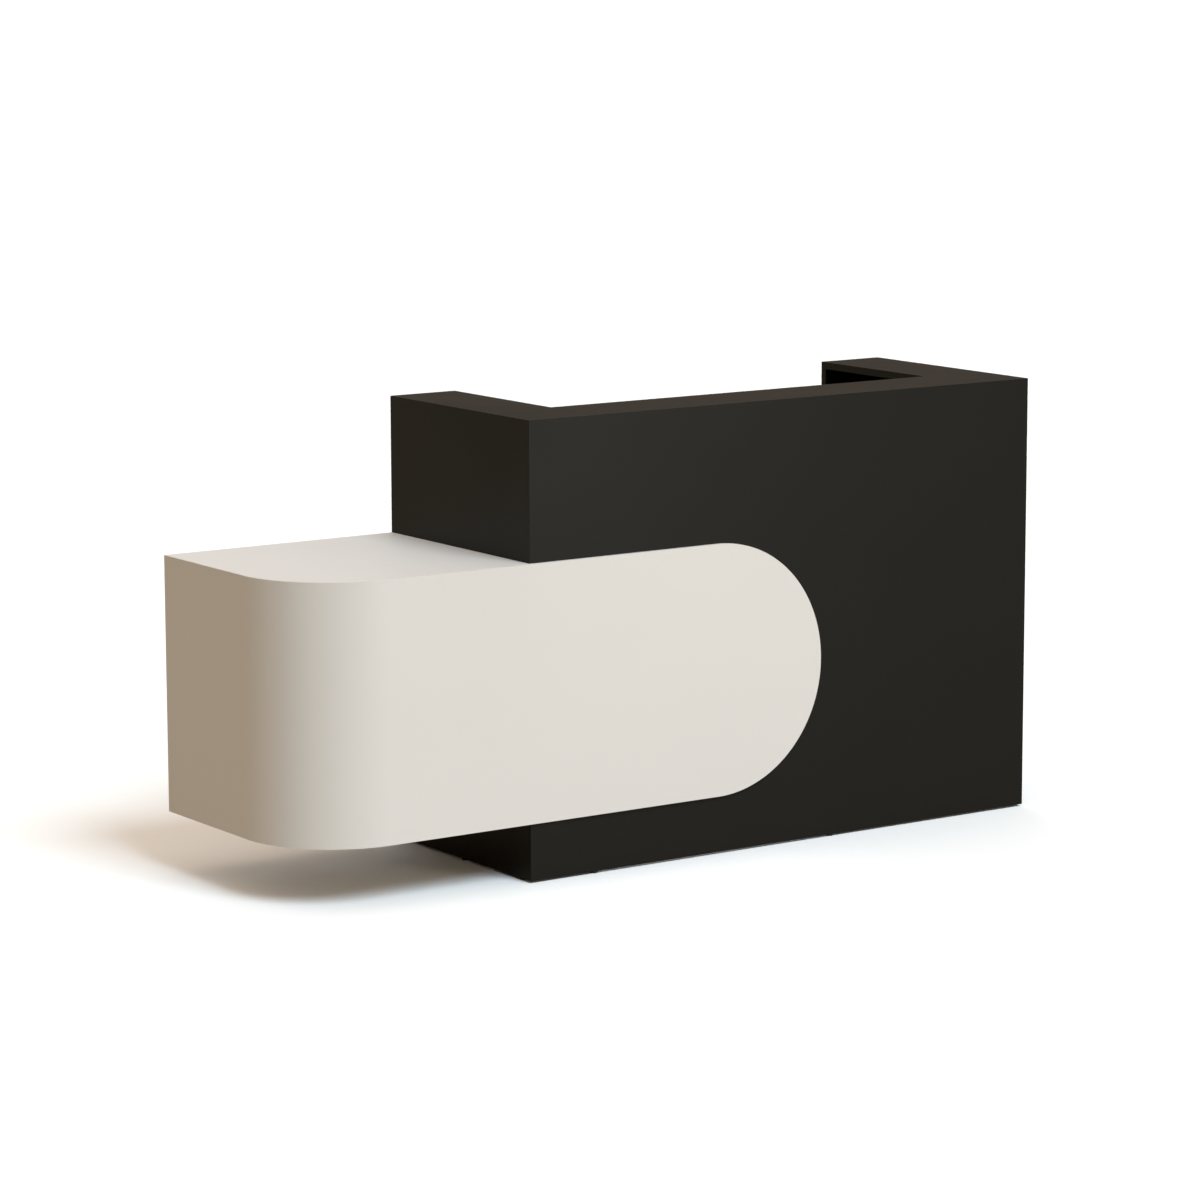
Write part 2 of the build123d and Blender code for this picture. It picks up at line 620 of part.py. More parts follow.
DOOR_GAP = 2.0
DOOR_WIDTH = (DOOR_RIGHT - DOOR_LEFT - 3 * HINGE_GAP) / 2
DOOR_Z = (LOW_FLOOR + DOOR_GAP, LOW_CEILING - DOOR_GAP)
HINGE_INSET = 80.0
HINGE_HEIGHTS = (LOW_FLOOR + HINGE_INSET, LOW_CEILING - HINGE_INSET)
HANDLE_INSET = 35.0
KNUCKLES = 5
KNUCKLE_GAP = 0.2
KNUCKLE_ROOM = KNUCKLE_RADIUS + 0.3  # how far each half's leaf stays back from the other half's knuckles
DOORS = {"left": (DOOR_LEFT, 1), "right": (DOOR_RIGHT, -1)}  # the face it hangs on, and which way it lies


def hinge_half(side_face, way, on_door):
    """The knuckles and leaf of two butt hinges, on the side or on the door."""
    axis_x = side_face + way * HINGE_AXIS[0]
    axis_y = Y_FACE + HINGE_AXIS[1]
    pitch = HINGE_LENGTH / KNUCKLES
    leaf = (HINGE_GAP - LEAF, HINGE_GAP) if on_door else (0.0, LEAF)
    leaf_x = sorted((side_face + way * leaf[0], side_face + way * leaf[1]))
    bore = HINGE_PIN_RADIUS + (0.05 if on_door else 0.0)
    other_half = range(0 if on_door else 1, KNUCKLES, 2)
    with BuildPart() as half:
        for centre in HINGE_HEIGHTS:
            low = centre - HINGE_LENGTH / 2
            block(leaf_x, (axis_y - LEAF_WIDTH, axis_y), (low, low + HINGE_LENGTH))
            bar_along("Z", (axis_x, axis_y, centre), KNUCKLE_RADIUS, HINGE_LENGTH)
            for n in other_half:
                gap_z = (low + n * pitch - KNUCKLE_GAP, low + (n + 1) * pitch + KNUCKLE_GAP)
                gap_x = sorted((side_face - way, axis_x + way * KNUCKLE_ROOM))
                block(gap_x, (axis_y - KNUCKLE_ROOM, axis_y + KNUCKLE_ROOM), gap_z, Mode.SUBTRACT)
            bar_along("Z", (axis_x, axis_y, centre), bore, HINGE_LENGTH + 2, Mode.SUBTRACT)
    return half


def door(side_face, way):
    x = sorted((side_face + way * HINGE_GAP, side_face + way * (HINGE_GAP + DOOR_WIDTH)))
    with BuildPart() as panel:
        block(x, (Y_FACE - BOARD, Y_FACE), DOOR_Z)
    return panel


frame_hinges = []
for side, (face, way) in DOORS.items():
    handle_x = face + way * (HINGE_GAP + DOOR_WIDTH - HANDLE_INSET)
    save(door(face, way), f"{side}_door")
    save(bar_handle(handle_x, END_Z, "Z"), f"{side}_door_handle")
    save(hinge_half(face, way, on_door=True), f"{side}_door_hinge_leaves")
    frame_hinges.append(hinge_half(face, way, on_door=False))
    for centre in HINGE_HEIGHTS:
        with BuildPart() as hinge_pin:
            pin_centre = (face + way * HINGE_AXIS[0], Y_FACE + HINGE_AXIS[1], centre)
            bar_along("Z", pin_centre, HINGE_PIN_RADIUS, HINGE_LENGTH)
        frame_hinges.append(hinge_pin)
save_group(frame_hinges, "frame_hinge_leaves")

# ------------------------------------------------ Floor glides

GLIDE_RADIUS = 8.5
GLIDE_INSET = 45.0
GLIDE_POINTS = [
    *[(x, y) for x in (X_TALL + BOARD / 2, X_RIGHT - BOARD / 2) for y in (Y_FRONT + GLIDE_INSET, 0.0)],
    *[(x, Y_REAR - BOARD / 2) for x in (X_TALL + GLIDE_INSET, X_KNEE - GLIDE_INSET)],
    *[(x, Y_REAR - BOARD / 2) for x in (X_INNER + GLIDE_INSET, X_RIGHT - GLIDE_INSET)],
    *[(x, Y_FRONT + BOARD / 2) for x in (X_KNEE, X_PEDESTAL)],
    (X_PEDESTAL + BOARD / 2, Y_FACE - GLIDE_INSET),
]

with BuildPart() as floor_glides:
    with BuildSketch():
        with Locations(*GLIDE_POINTS):
            Circle(GLIDE_RADIUS)
    extrude(amount=GLIDE_HEIGHT)
save(floor_glides, "floor_glides")
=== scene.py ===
"""Looks of the checkout counter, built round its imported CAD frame. Metres, +Z up, customers at -Y."""

import json
import math

import bmesh
import bpy
from mathutils import Euler, Matrix, Vector


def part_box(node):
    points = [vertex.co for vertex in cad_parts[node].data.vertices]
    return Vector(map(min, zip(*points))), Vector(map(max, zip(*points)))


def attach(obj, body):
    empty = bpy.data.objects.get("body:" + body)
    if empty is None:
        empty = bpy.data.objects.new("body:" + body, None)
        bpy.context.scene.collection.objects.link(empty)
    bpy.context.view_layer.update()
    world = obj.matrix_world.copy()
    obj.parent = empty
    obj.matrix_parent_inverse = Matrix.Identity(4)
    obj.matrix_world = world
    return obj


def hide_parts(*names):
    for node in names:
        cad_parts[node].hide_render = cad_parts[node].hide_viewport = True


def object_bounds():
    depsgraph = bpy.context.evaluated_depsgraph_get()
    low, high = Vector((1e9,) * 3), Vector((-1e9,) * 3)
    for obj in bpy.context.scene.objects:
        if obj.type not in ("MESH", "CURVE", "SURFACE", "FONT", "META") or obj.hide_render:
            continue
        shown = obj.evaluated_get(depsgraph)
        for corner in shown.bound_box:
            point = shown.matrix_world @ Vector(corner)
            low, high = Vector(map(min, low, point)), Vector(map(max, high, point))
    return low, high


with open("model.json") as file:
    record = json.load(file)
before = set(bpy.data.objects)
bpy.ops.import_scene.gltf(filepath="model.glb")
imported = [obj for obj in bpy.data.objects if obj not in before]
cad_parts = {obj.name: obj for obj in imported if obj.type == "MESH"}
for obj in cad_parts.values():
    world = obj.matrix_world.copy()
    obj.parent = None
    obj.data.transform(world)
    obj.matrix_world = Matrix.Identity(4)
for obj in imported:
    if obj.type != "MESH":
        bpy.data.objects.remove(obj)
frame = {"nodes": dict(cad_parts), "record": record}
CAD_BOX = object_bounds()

RECORD = frame["record"]
BODY_OF = {node: body for body, nodes in RECORD["behaviour"]["bodies"].items() for node in nodes}
SLOT_OF = {part["node"]: part["material_slot"] for part in RECORD["subparts"]}

MM = 0.001
CLOSE = 0.001 * MM  # points nearer than this are in one place
SLIVER = 0.01 * MM  # shorter edges are merged away
EDGE = 0.8 * MM  # rounding of a laminated board's edges
ALONG_X = (1, 0, 0)
ALONG_Y = (0, 1, 0)
UP = (0, 0, 1)
DOWN = (0, 0, -1)

# ------------------------------------------------ Places, read from the frame

LOW, HIGH = CAD_BOX
TALL_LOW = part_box("front_panel")[0]
TALL_HIGH = Vector((*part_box("right_side_panel")[1].xy, HIGH.z))
SKIN_LOW, SKIN_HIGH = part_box("low_counter_skin")
SKIN = TALL_LOW.y - SKIN_LOW.y
CORNER_RADIUS = 235 * MM
BEND_CENTRE = Vector((SKIN_LOW.x + CORNER_RADIUS, SKIN_LOW.y + CORNER_RADIUS))
END_RADIUS = (SKIN_HIGH.z - SKIN_LOW.z) / 2
END_X = SKIN_HIGH.x - END_RADIUS
END_Z = (SKIN_HIGH.z + SKIN_LOW.z) / 2
FACE_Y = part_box("drawer_1_front")[1].y  # rear face of the drawer fronts and the doors
BOARD = FACE_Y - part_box("drawer_1_front")[0].y
DESK_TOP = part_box("desktop")[1].z

# ------------------------------------------------ Camera and lights

LENS = 125.9  # in millimetres, as the sensor's width is
SENSOR = 36.0
SIGHT = 200.0  # how far the camera sees
CAMERA_FROM_CORNER = Vector((-5.233, -7.910, 2.239))  # from the foot of the tall body's front left corner
CAMERA_YAW = 34.46  # towards +X from +Y, in degrees
CAMERA_PITCH = 9.42  # downwards
CAMERA_ROLL = -0.13


def make_camera():
    data = bpy.data.cameras.new("camera")
    data.lens = LENS
    data.sensor_width = SENSOR
    data.clip_end = SIGHT
    camera = bpy.data.objects.new("camera", data)
    bpy.context.scene.collection.objects.link(camera)
    camera.location = Vector((TALL_LOW.x, TALL_LOW.y, 0)) + CAMERA_FROM_CORNER
    turn = Euler((math.radians(90 - CAMERA_PITCH), 0, math.radians(-CAMERA_YAW))).to_matrix()
    camera.rotation_euler = (turn @ Matrix.Rotation(math.radians(CAMERA_ROLL), 3, "Z")).to_euler()
    bpy.context.scene.camera = camera


def make_light(name, kind, power, colour, shines_from):
    """A light whose rays come from the direction shines_from."""
    data = bpy.data.lights.new(name, kind)
    data.energy = power
    data.color = colour
    light = bpy.data.objects.new(name, data)
    light.rotation_euler = shines_from.to_track_quat("Z", "Y").to_euler()
    bpy.context.scene.collection.objects.link(light)
    return light


def make_sun(name, azimuth, elevation, power, spread_angle, colour, in_gloss=True):
    """A soft distant light. Azimuth 0 shines from -Y, 90 from +X. All its angles are in degrees."""
    a, e = math.radians(azimuth), math.radians(elevation)
    shines_from = Vector((math.sin(a) * math.cos(e), -math.cos(a) * math.cos(e), math.sin(e)))
    light = make_light(name, "SUN", power, colour, shines_from)
    light.data.angle = math.radians(spread_angle)
    light.visible_glossy = in_gloss


def make_panel_light(name, place, size, power, colour):
    """A square softbox that faces the middle of the counter."""
    light = make_light(name, "AREA", power, colour, Vector(place) - (LOW + HIGH) / 2)
    light.data.size = size
    light.location = place


# ------------------------------------------------ Material helpers


def new_material(name):
    """An empty material, with its node tree, its shader and its texture coordinates."""
    made = bpy.data.materials.new(name)
    made.use_nodes = True
    tree = made.node_tree
    place = node(tree, "ShaderNodeTexCoord").outputs["Object"]
    return made, tree, tree.nodes["Principled BSDF"], place


def node(tree, kind, inputs=None, **settings):
    """Add a node. An input is a number, a colour or another node's output, by socket name or index."""
    made = tree.nodes.new(kind)
    for key, value in settings.items():
        setattr(made, key, value)
    for key, value in (inputs or {}).items():
        if isinstance(value, bpy.types.NodeSocket):
            tree.links.new(value, made.inputs[key])
        else:
            made.inputs[key].default_value = value
    return made


def noise(tree, place, scale, detail=2.0, roughness=0.5):
    inputs = {"Vector": place, "Scale": scale, "Detail": detail, "Roughness": roughness}
    return node(tree, "ShaderNodeTexNoise", inputs).outputs["Fac"]


def spread(tree, value, low, high, from_low=0.3, from_high=0.7):
    """Map a noise value onto low to high."""
    inputs = {"Value": value, "From Min": from_low, "From Max": from_high, "To Min": low, "To Max": high}
    return node(tree, "ShaderNodeMapRange", inputs).outputs["Result"]


def maths(tree, operation, *values):
    """Work a value out from numbers and other nodes' outputs."""
    return node(tree, "ShaderNodeMath", dict(enumerate(values)), operation=operation).outputs["Value"]


def mix(tree, factor, first, second):
    """Mix two colours."""
    inputs = {0: factor, 6: first, 7: second}
    return node(tree, "ShaderNodeMix", inputs, data_type="RGBA").outputs[2]


def bump(tree, height, depth, after=None):
    """A relief of the given depth, which may lie on another one."""
    inputs = {"Height": height, "Distance": depth, "Strength": 1.0}
    if after is not None:
        inputs["Normal"] = after
    return node(tree, "ShaderNodeBump", inputs).outputs["Normal"]


def rgba(colour, brightness=1.0):
    """A colour made darker or brighter, with its alpha."""
    return (*(channel * brightness for channel in colour), 1)


# ------------------------------------------------ Materials

PEARL = 0.02 * MM  # relief of the laminates' fine texture
PEEL = 0.006 * MM  # relief of their faint waves
SPARKED = 0.02 * MM  # relief of moulded plastic
PLATED = 0.003 * MM  # relief of metal
POLISHED = 0.001 * MM  # relief of bright metal
SCUFFED = 0.15  # how much rougher a worn edge is


def laminate(name, tone, fleck, worn, roughness, specular):
    """Pressed laminate: cloudy, flecked, pearled and faintly smeared, with patchy wear on its edges."""
    made, tree, shader, place = new_material(name)
    drift = spread(tree, noise(tree, place, scale=1.6, detail=1.0), 0.0, 0.6)
    flecks = spread(tree, noise(tree, place, scale=1400.0, detail=1.0), 0.0, 0.35, 0.45, 0.75)
    flecked = mix(tree, flecks, mix(tree, drift, rgba(tone), rgba(tone, 0.96)), rgba(fleck))
    patches = spread(tree, noise(tree, place, scale=55.0, detail=4.0, roughness=0.7), 0.0, 0.8, 0.42, 0.62)
    on_edge = node(tree, "ShaderNodeAttribute", attribute_name="edge").outputs["Fac"]
    wear = maths(tree, "MULTIPLY", patches, on_edge)
    tree.links.new(mix(tree, wear, flecked, rgba(worn)), shader.inputs["Base Color"])
    smears = spread(tree, noise(tree, place, scale=3.5, detail=2.0, roughness=0.4), *roughness)
    tree.links.new(maths(tree, "MULTIPLY_ADD", wear, SCUFFED, smears), shader.inputs["Roughness"])
    peel = bump(tree, noise(tree, place, scale=160.0, detail=1.0), PEEL)
    pearl = bump(tree, noise(tree, place, scale=2200.0), PEARL, after=peel)
    tree.links.new(pearl, shader.inputs["Normal"])
    shader.inputs["Specular IOR Level"].default_value = specular
    return made


def metal(name, tone, roughness, brushed=None, relief=PLATED):
    """Plated metal, or brushed metal, where brushed is the axis that its fine lines run along."""
    made, tree, shader, place = new_material(name)
    stretch = {"X": (0.02, 1, 1), "Y": (1, 0.02, 1), "Z": (1, 1, 0.02), None: (1, 1, 1)}[brushed]
    lined = node(tree, "ShaderNodeMapping", {"Vector": place, "Scale": stretch}).outputs["Vector"]
    lines = noise(tree, lined, scale=2600.0 if brushed else 340.0)
    dull = spread(tree, noise(tree, place, scale=45.0, detail=3.0), 0, 1)
    tree.links.new(mix(tree, dull, rgba(tone), rgba(tone, 0.94)), shader.inputs["Base Color"])
    tree.links.new(spread(tree, lines, *roughness), shader.inputs["Roughness"])
    tree.links.new(bump(tree, lines, relief), shader.inputs["Normal"])
    shader.inputs["Metallic"].default_value = 1.0
    return made


def plastic(name, tone, roughness):
    """Moulded plastic with a fine spark-eroded texture."""
    made, tree, shader, place = new_material(name)
    cloud = spread(tree, noise(tree, place, scale=60.0, detail=3.0), 0, 1)
    tree.links.new(mix(tree, cloud, rgba(tone), rgba(tone, 1.2)), shader.inputs["Base Color"])
    worn = spread(tree, noise(tree, place, scale=25.0, detail=3.0), *roughness)
    tree.links.new(worn, shader.inputs["Roughness"])
    tree.links.new(bump(tree, noise(tree, place, scale=3000.0), SPARKED), shader.inputs["Normal"])
    return made


CHARCOAL = laminate(
    "charcoal_laminate", tone=(0.0095, 0.0090, 0.0076), fleck=(0.014, 0.013, 0.011),
    worn=(0.022, 0.020, 0.018), roughness=(0.36, 0.42), specular=0.14,
)
WHITE = laminate(
    "white_laminate", tone=(0.70, 0.67, 0.64), fleck=(0.73, 0.70, 0.67),
    worn=(0.60, 0.56, 0.52), roughness=(0.44, 0.50), specular=0.4,
)
MELAMINE = laminate(
    "drawer_melamine", tone=(0.52, 0.51, 0.49), fleck=(0.60, 0.59, 0.57),
    worn=(0.42, 0.40, 0.37), roughness=(0.45, 0.60), specular=0.4,
)
ZINC = metal("zinc_plate", (0.60, 0.61, 0.62), (0.28, 0.42), brushed="Y")
SATIN = {}
for line_axis in "XZ":
    steel = metal(f"satin_steel_{line_axis.lower()}", (0.62, 0.60, 0.58), (0.24, 0.36), brushed=line_axis)
    SATIN[line_axis] = steel
NICKEL = metal("nickel_plate", (0.60, 0.58, 0.55), (0.22, 0.36))
CHROME = metal("lock_chrome", (0.72, 0.72, 0.73), (0.10, 0.18), relief=POLISHED)
BRASS = metal("key_brass", (0.62, 0.56, 0.42), (0.20, 0.34))
BLACK_PLASTIC = plastic("black_plastic", (0.020, 0.020, 0.019), (0.42, 0.56))

MATERIAL_OF = {
    "charcoal_laminate": CHARCOAL, "white_laminate": WHITE, "drawer_board": MELAMINE, "slide_steel": ZINC,
    "handle_steel": SATIN["X"], "hardware_steel": NICKEL, "lock_chrome": CHROME, "key_brass": BRASS,
    "black_plastic": BLACK_PLASTIC,
}

# ------------------------------------------------ Room

FLOOR_HALF = 150.0  # half the floor's width
FLOOR_BOUNCE = (0.43, 0.36, 0.26)  # the floor's colour, as the counter is lit by it


def make_world(horizon, zenith, seen):
    """A dim room, brighter overhead. Where the camera sees it directly, it is a plain pale backdrop."""
    world = bpy.data.worlds.new("studio")
    bpy.context.scene.world = world
    world.use_nodes = True
    tree = world.node_tree
    way = node(tree, "ShaderNodeTexCoord").outputs["Generated"]
    height = node(tree, "ShaderNodeSeparateXYZ", {"Vector": way}).outputs["Z"]
    room = mix(tree, maths(tree, "POWER", height, 2.0), rgba(horizon), rgba(zenith))
    seen_by_camera = node(tree, "ShaderNodeLightPath").outputs["Is Camera Ray"]
    tree.links.new(mix(tree, seen_by_camera, room, rgba(seen)), tree.nodes["Background"].inputs["Color"])


def floor_material(bounce):
    """A pale floor. It gives the counter only the warm, weaker bounce light of a shop floor."""
    made, tree, shader, place = new_material("floor_pale")
    cloud = spread(tree, noise(tree, place, scale=0.8, detail=3.0), 0, 1)
    pale = mix(tree, cloud, (0.97, 0.97, 0.97, 1), (0.985, 0.985, 0.985, 1))
    seen_by_camera = node(tree, "ShaderNodeLightPath").outputs["Is Camera Ray"]
    tree.links.new(mix(tree, seen_by_camera, rgba(bounce), pale), shader.inputs["Base Color"])
    shader.inputs["Roughness"].default_value = 0.9
    shader.inputs["Specular IOR Level"].default_value = 0.1
    return made


# ------------------------------------------------ Mesh helpers

SMOOTH_ANGLE = math.radians(35)  # sharper edges stay crisp
ROUND_SEGMENTS = 3
BAR_STEPS = 4  # in the rounded end of a bar's profile


def new_mesh():
    """An empty mesh with the edge layer, which the laminates read to show wear."""
    bm = bmesh.new()
    bm.loops.layers.float.new("edge")
    return bm


def to_object(name, bm, material):
    """Turn a mesh into an object with sharp edges kept and broad faces flat."""
    bmesh.ops.recalc_face_normals(bm, faces=bm.faces)
    mesh = bpy.data.meshes.new(name)
    bm.to_mesh(mesh)
    bm.free()
    mesh.shade_smooth()
    mesh.set_sharp_from_angle(angle=SMOOTH_ANGLE)
    made = bpy.data.objects.new(name, mesh)
    bpy.context.scene.collection.objects.link(made)
    mesh.materials.append(material)
    weighted = made.modifiers.new("flat_faces", "WEIGHTED_NORMAL")
    weighted.keep_sharp = True
    return made


def stand_for(made, *nodes):
    """The piece takes the place of CAD nodes: it rides where they do."""
    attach(made, BODY_OF[nodes[0]])
    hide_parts(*nodes)
    return made


def add_to(made, body):
    """A piece that the CAD doesn't have rides on a body."""
    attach(made, body)


def round_edges(bm, edges, radius, segments=ROUND_SEGMENTS):
    """Round some edges, and mark what they become in the mesh's edge layer."""
    rounded = bmesh.ops.bevel(bm, geom=edges, offset=radius, segments=segments, profile=0.5, affect="EDGES")
    mark = bm.loops.layers.float["edge"]
    for face in rounded["faces"]:
        for loop in face.loops:
            loop[mark] = 1.0


def rounded_block(low, high, radius):
    """A box with all its edges rounded."""
    bm = new_mesh()
    low, high = Vector(low), Vector(high)
    verts = bmesh.ops.create_cube(bm, size=1.0)["verts"]
    bmesh.ops.scale(bm, vec=high - low, verts=verts)
    bmesh.ops.translate(bm, vec=(low + high) / 2, verts=verts)
    round_edges(bm, list({edge for vert in verts for edge in vert.link_edges}), radius)
    return bm


def cut_away(bm, point, direction):
    """Cut off what lies past a plane, on the side that direction points to, and close the cut."""
    cut = bmesh.ops.bisect_plane(
        bm, geom=bm.verts[:] + bm.edges[:] + bm.faces[:], plane_co=point, plane_no=direction,
        clear_outer=True, dist=CLOSE / 10,
    )
    edges = [item for item in cut["geom_cut"] if isinstance(item, bmesh.types.BMEdge)]
    bmesh.ops.contextual_create(bm, geom=edges)
    bmesh.ops.dissolve_degenerate(bm, dist=SLIVER, edges=bm.edges)


def facing(place, direction):
    """The matrix that turns +Z to a direction and moves the origin to a place."""
    return Matrix.Translation(place) @ Vector(direction).to_track_quat("Z", "Y").to_matrix().to_4x4()


def lathe(profile, place, direction=UP, segments=48, ring=False):
    """Turn (radius, height) points about a direction. With ring, their ends meet and leave a bore."""
    bm = bmesh.new()
    rows = []
    for radius, height in profile:
        turns = [2 * math.pi * k / segments for k in range(segments if radius > 0 else 1)]
        rows.append([bm.verts.new((radius * math.cos(t), radius * math.sin(t), height)) for t in turns])
    pairs = list(zip(rows, rows[1:])) + ([(rows[-1], rows[0])] if ring else [])
    for near, far in pairs:
        for k in range(segments):
            quad = [near[k % len(near)], near[(k + 1) % len(near)]]
            quad += [far[(k + 1) % len(far)], far[k % len(far)]]
            bm.faces.new(list(dict.fromkeys(quad)))
    bmesh.ops.transform(bm, matrix=facing(place, direction), verts=bm.verts)
    bmesh.ops.recalc_face_normals(bm, faces=bm.faces)
    return bm


def loft(loops):
    """A closed skin through loops of points, with a flat face at each end."""
    bm = new_mesh()
    rows = [[bm.verts.new(point) for point in loop] for loop in loops]
    bm.faces.new(rows[0])
    bm.faces.new(rows[-1])
    for near, far in zip(rows, rows[1:]):
        for k in range(len(near)):
            bm.faces.new([near[k - 1], near[k], far[k], far[k - 1]])
    bmesh.ops.recalc_face_normals(bm, faces=bm.faces)
    return bm


def quarter_turn(steps):
    """Even angles over a quarter turn."""
    return [math.pi / 2 * k / steps for k in range(steps + 1)]


def bar_profile(radius, low, high, rounding):
    """The profile of a solid round bar with rounded ends."""
    foot = [
        (radius - rounding + rounding * math.sin(t), low + rounding - rounding * math.cos(t))
        for t in quarter_turn(BAR_STEPS)
    ]
    head = [(r, low + high - h) for r, h in reversed(foot)]
    return [(0, low), *foot, *head, (0, high)]


def from_mm(points):
    """Points in millimetres, turned into metres."""
    return [tuple(value * MM for value in point) for point in points]


def gather(parts):
    """Put several meshes into one."""
    bm = bmesh.new()
    for part in parts:
        mesh = bpy.data.meshes.new("part")
        part.to_mesh(mesh)
        part.free()
        bm.from_mesh(mesh)
        bpy.data.meshes.remove(mesh)
    return bm


def combine(first, second, operation):
    """Join two closed meshes into one skin (UNION), or cut the second out of the first (DIFFERENCE)."""
    made = []
    for bm in (first, second):
        mesh = bpy.data.meshes.new("shaping")
        bm.to_mesh(mesh)
        bm.free()
        made.append(bpy.data.objects.new("shaping", mesh))
        bpy.context.scene.collection.objects.link(made[-1])
    shaping = made[0].modifiers.new("shaping", "BOOLEAN")
    shaping.operation = operation
    shaping.solver = "EXACT"
    shaping.use_self = True
    shaping.object = made[1]
    bm = bmesh.new()
    bm.from_object(made[0], bpy.context.evaluated_depsgraph_get())
    for thing in made:
        mesh = thing.data
        bpy.data.objects.remove(thing)
        bpy.data.meshes.remove(mesh)
    bmesh.ops.dissolve_degenerate(bm, dist=CLOSE, edges=bm.edges)
    return bm


def solid_boxes(name):
    """The box of each separate solid of a CAD node, in order of its place."""
    bm = bmesh.new()
    bm.from_mesh(frame["nodes"][name].data)
    bmesh.ops.remove_doubles(bm, verts=bm.verts, dist=CLOSE)
    left = set(bm.verts)
    boxes = []
    while left:
        reached = [left.pop()]
        for vert in reached:
            near = {edge.other_vert(vert) for edge in vert.link_edges} & left
            left -= near
            reached += near
        low = Vector([min(vert.co[axis] for vert in reached) for axis in range(3)])
        high = Vector([max(vert.co[axis] for vert in reached) for axis in range(3)])
        boxes.append((low, high))
    bm.free()
    return sorted(boxes, key=lambda box: [round(value, 5) for value in box[0]])


# ------------------------------------------------ Tall body: mitred outer boards

CORNERS = {
    "front_left": (TALL_LOW.x, TALL_LOW.y, TALL_HIGH.z),
    "front_right": (TALL_HIGH.x, TALL_LOW.y, TALL_HIGH.z),
    "rear_left": (TALL_LOW.x, TALL_HIGH.y, TALL_HIGH.z),
    "rear_right": (TALL_HIGH.x, TALL_HIGH.y, TALL_HIGH.z),
}
# Each board, and its mitres: a corner, and the direction that is cut away
MITRES = {
    "front_panel": [("front_left", (-1, 1, 0)), ("front_right", (1, 1, 0)), ("front_left", (0, 1, 1))],
    "left_side_panel": [("front_left", (1, -1, 0)), ("rear_left", (1, 1, 0)), ("front_left", (1, 0, 1))],
    "right_side_panel": [
        ("front_right", (-1, -1, 0)), ("rear_right", (-1, 1, 0)), ("front_right", (-1, 0, 1)),
    ],
    "left_end_post": [("rear_left", (-1, -1, 0)), ("rear_left", (0, -1, 1))],
    "right_end_post": [("rear_right", (1, -1, 0)), ("rear_right", (0, -1, 1))],
    "front_ledge": [("front_left", (0, -1, -1)), ("front_left", (-1, 1, 0)), ("front_right", (1, 1, 0))],
    "left_ledge": [("front_left", (-1, 0, -1)), ("front_left", (1, -1, 0)), ("rear_left", (0, 1, -1))],
    "right_ledge": [("front_right", (1, 0, -1)), ("front_right", (-1, -1, 0)), ("rear_right", (0, 1, -1))],
}
PLAIN_BOARDS = [
    "desktop_cleat", "left_inner_panel", "right_inner_panel", "pedestal_side", "pedestal_bottom",
    "pedestal_plinth", "keyboard_tray", "drawer_2_front", "drawer_3_front", "left_door", "right_door",
]


def make_boards():
    """Laminated boards with rounded edges, mitred where they meet at the tall body's corners."""
    for name in [*MITRES, *PLAIN_BOARDS]:
        bm = rounded_block(*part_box(name), EDGE)
        for corner, direction in MITRES.get(name, []):
            cut_away(bm, CORNERS[corner], direction)
        stand_for(to_object(f"{name}_board", bm, MATERIAL_OF[SLOT_OF[name]]), name)


# ------------------------------------------------ Low counter: bent skin and the boards inside it

ARC_STEPS = 64
END_STEPS = 96
BEND = [math.radians(180 + 90 * step / ARC_STEPS) for step in range(ARC_STEPS + 1)]  # angles along the bend


def make_skin():
    """The bent skin: columns along its path, with a half-round end, given a thickness."""
    columns = [(SKIN_LOW.x, SKIN_HIGH.y, 1, 0, END_RADIUS)]
    for a in BEND:
        x = BEND_CENTRE.x + CORNER_RADIUS * math.cos(a)
        y = BEND_CENTRE.y + CORNER_RADIUS * math.sin(a)
        columns.append((x, y, -math.cos(a), -math.sin(a), END_RADIUS))
    for t in quarter_turn(END_STEPS):
        columns.append((END_X + END_RADIUS * math.sin(t), SKIN_LOW.y, 0, 1, END_RADIUS * math.cos(t)))
    bm = bmesh.new()
    rows = []
    for x, y, inward_x, inward_y, half in columns:
        ends = [(x, y), (x + inward_x * SKIN, y + inward_y * SKIN)]
        heights = [END_Z + half, END_Z - half] if half > CLOSE else [END_Z]
        rows.append([[bm.verts.new((px, py, z)) for z in heights] for px, py in ends])
    outer, inner = rows[0]
    bm.faces.new([outer[0], inner[0], inner[1], outer[1]])
    rims = [(outer[0], outer[1])]
    for (outer, inner), (next_outer, next_inner) in zip(rows, rows[1:]):
        bm.faces.new([outer[0], outer[-1], *dict.fromkeys([next_outer[-1], next_outer[0]])])
        bm.faces.new([inner[-1], inner[0], *dict.fromkeys([next_inner[0], next_inner[-1]])])
        for k in (0, -1):
            bm.faces.new([outer[k], next_outer[k], next_inner[k], inner[k]])
            rims.append((outer[k], next_outer[k]))
            if next_outer[k].co.x > TALL_LOW.x + MM:
                rims.append((inner[k], next_inner[k]))
    weights = bm.edges.layers.float.new("bevel_weight_edge")
    for pair in rims:
        bm.edges.get(pair)[weights] = 1.0
    made = to_object("white_skin", bm, WHITE)
    rounding = made.modifiers.new("rounded_rim", "BEVEL")
    rounding.limit_method = "WEIGHT"
    rounding.width = EDGE
    rounding.segments = ROUND_SEGMENTS
    made.modifiers.move(1, 0)
    stand_for(made, "low_counter_skin")


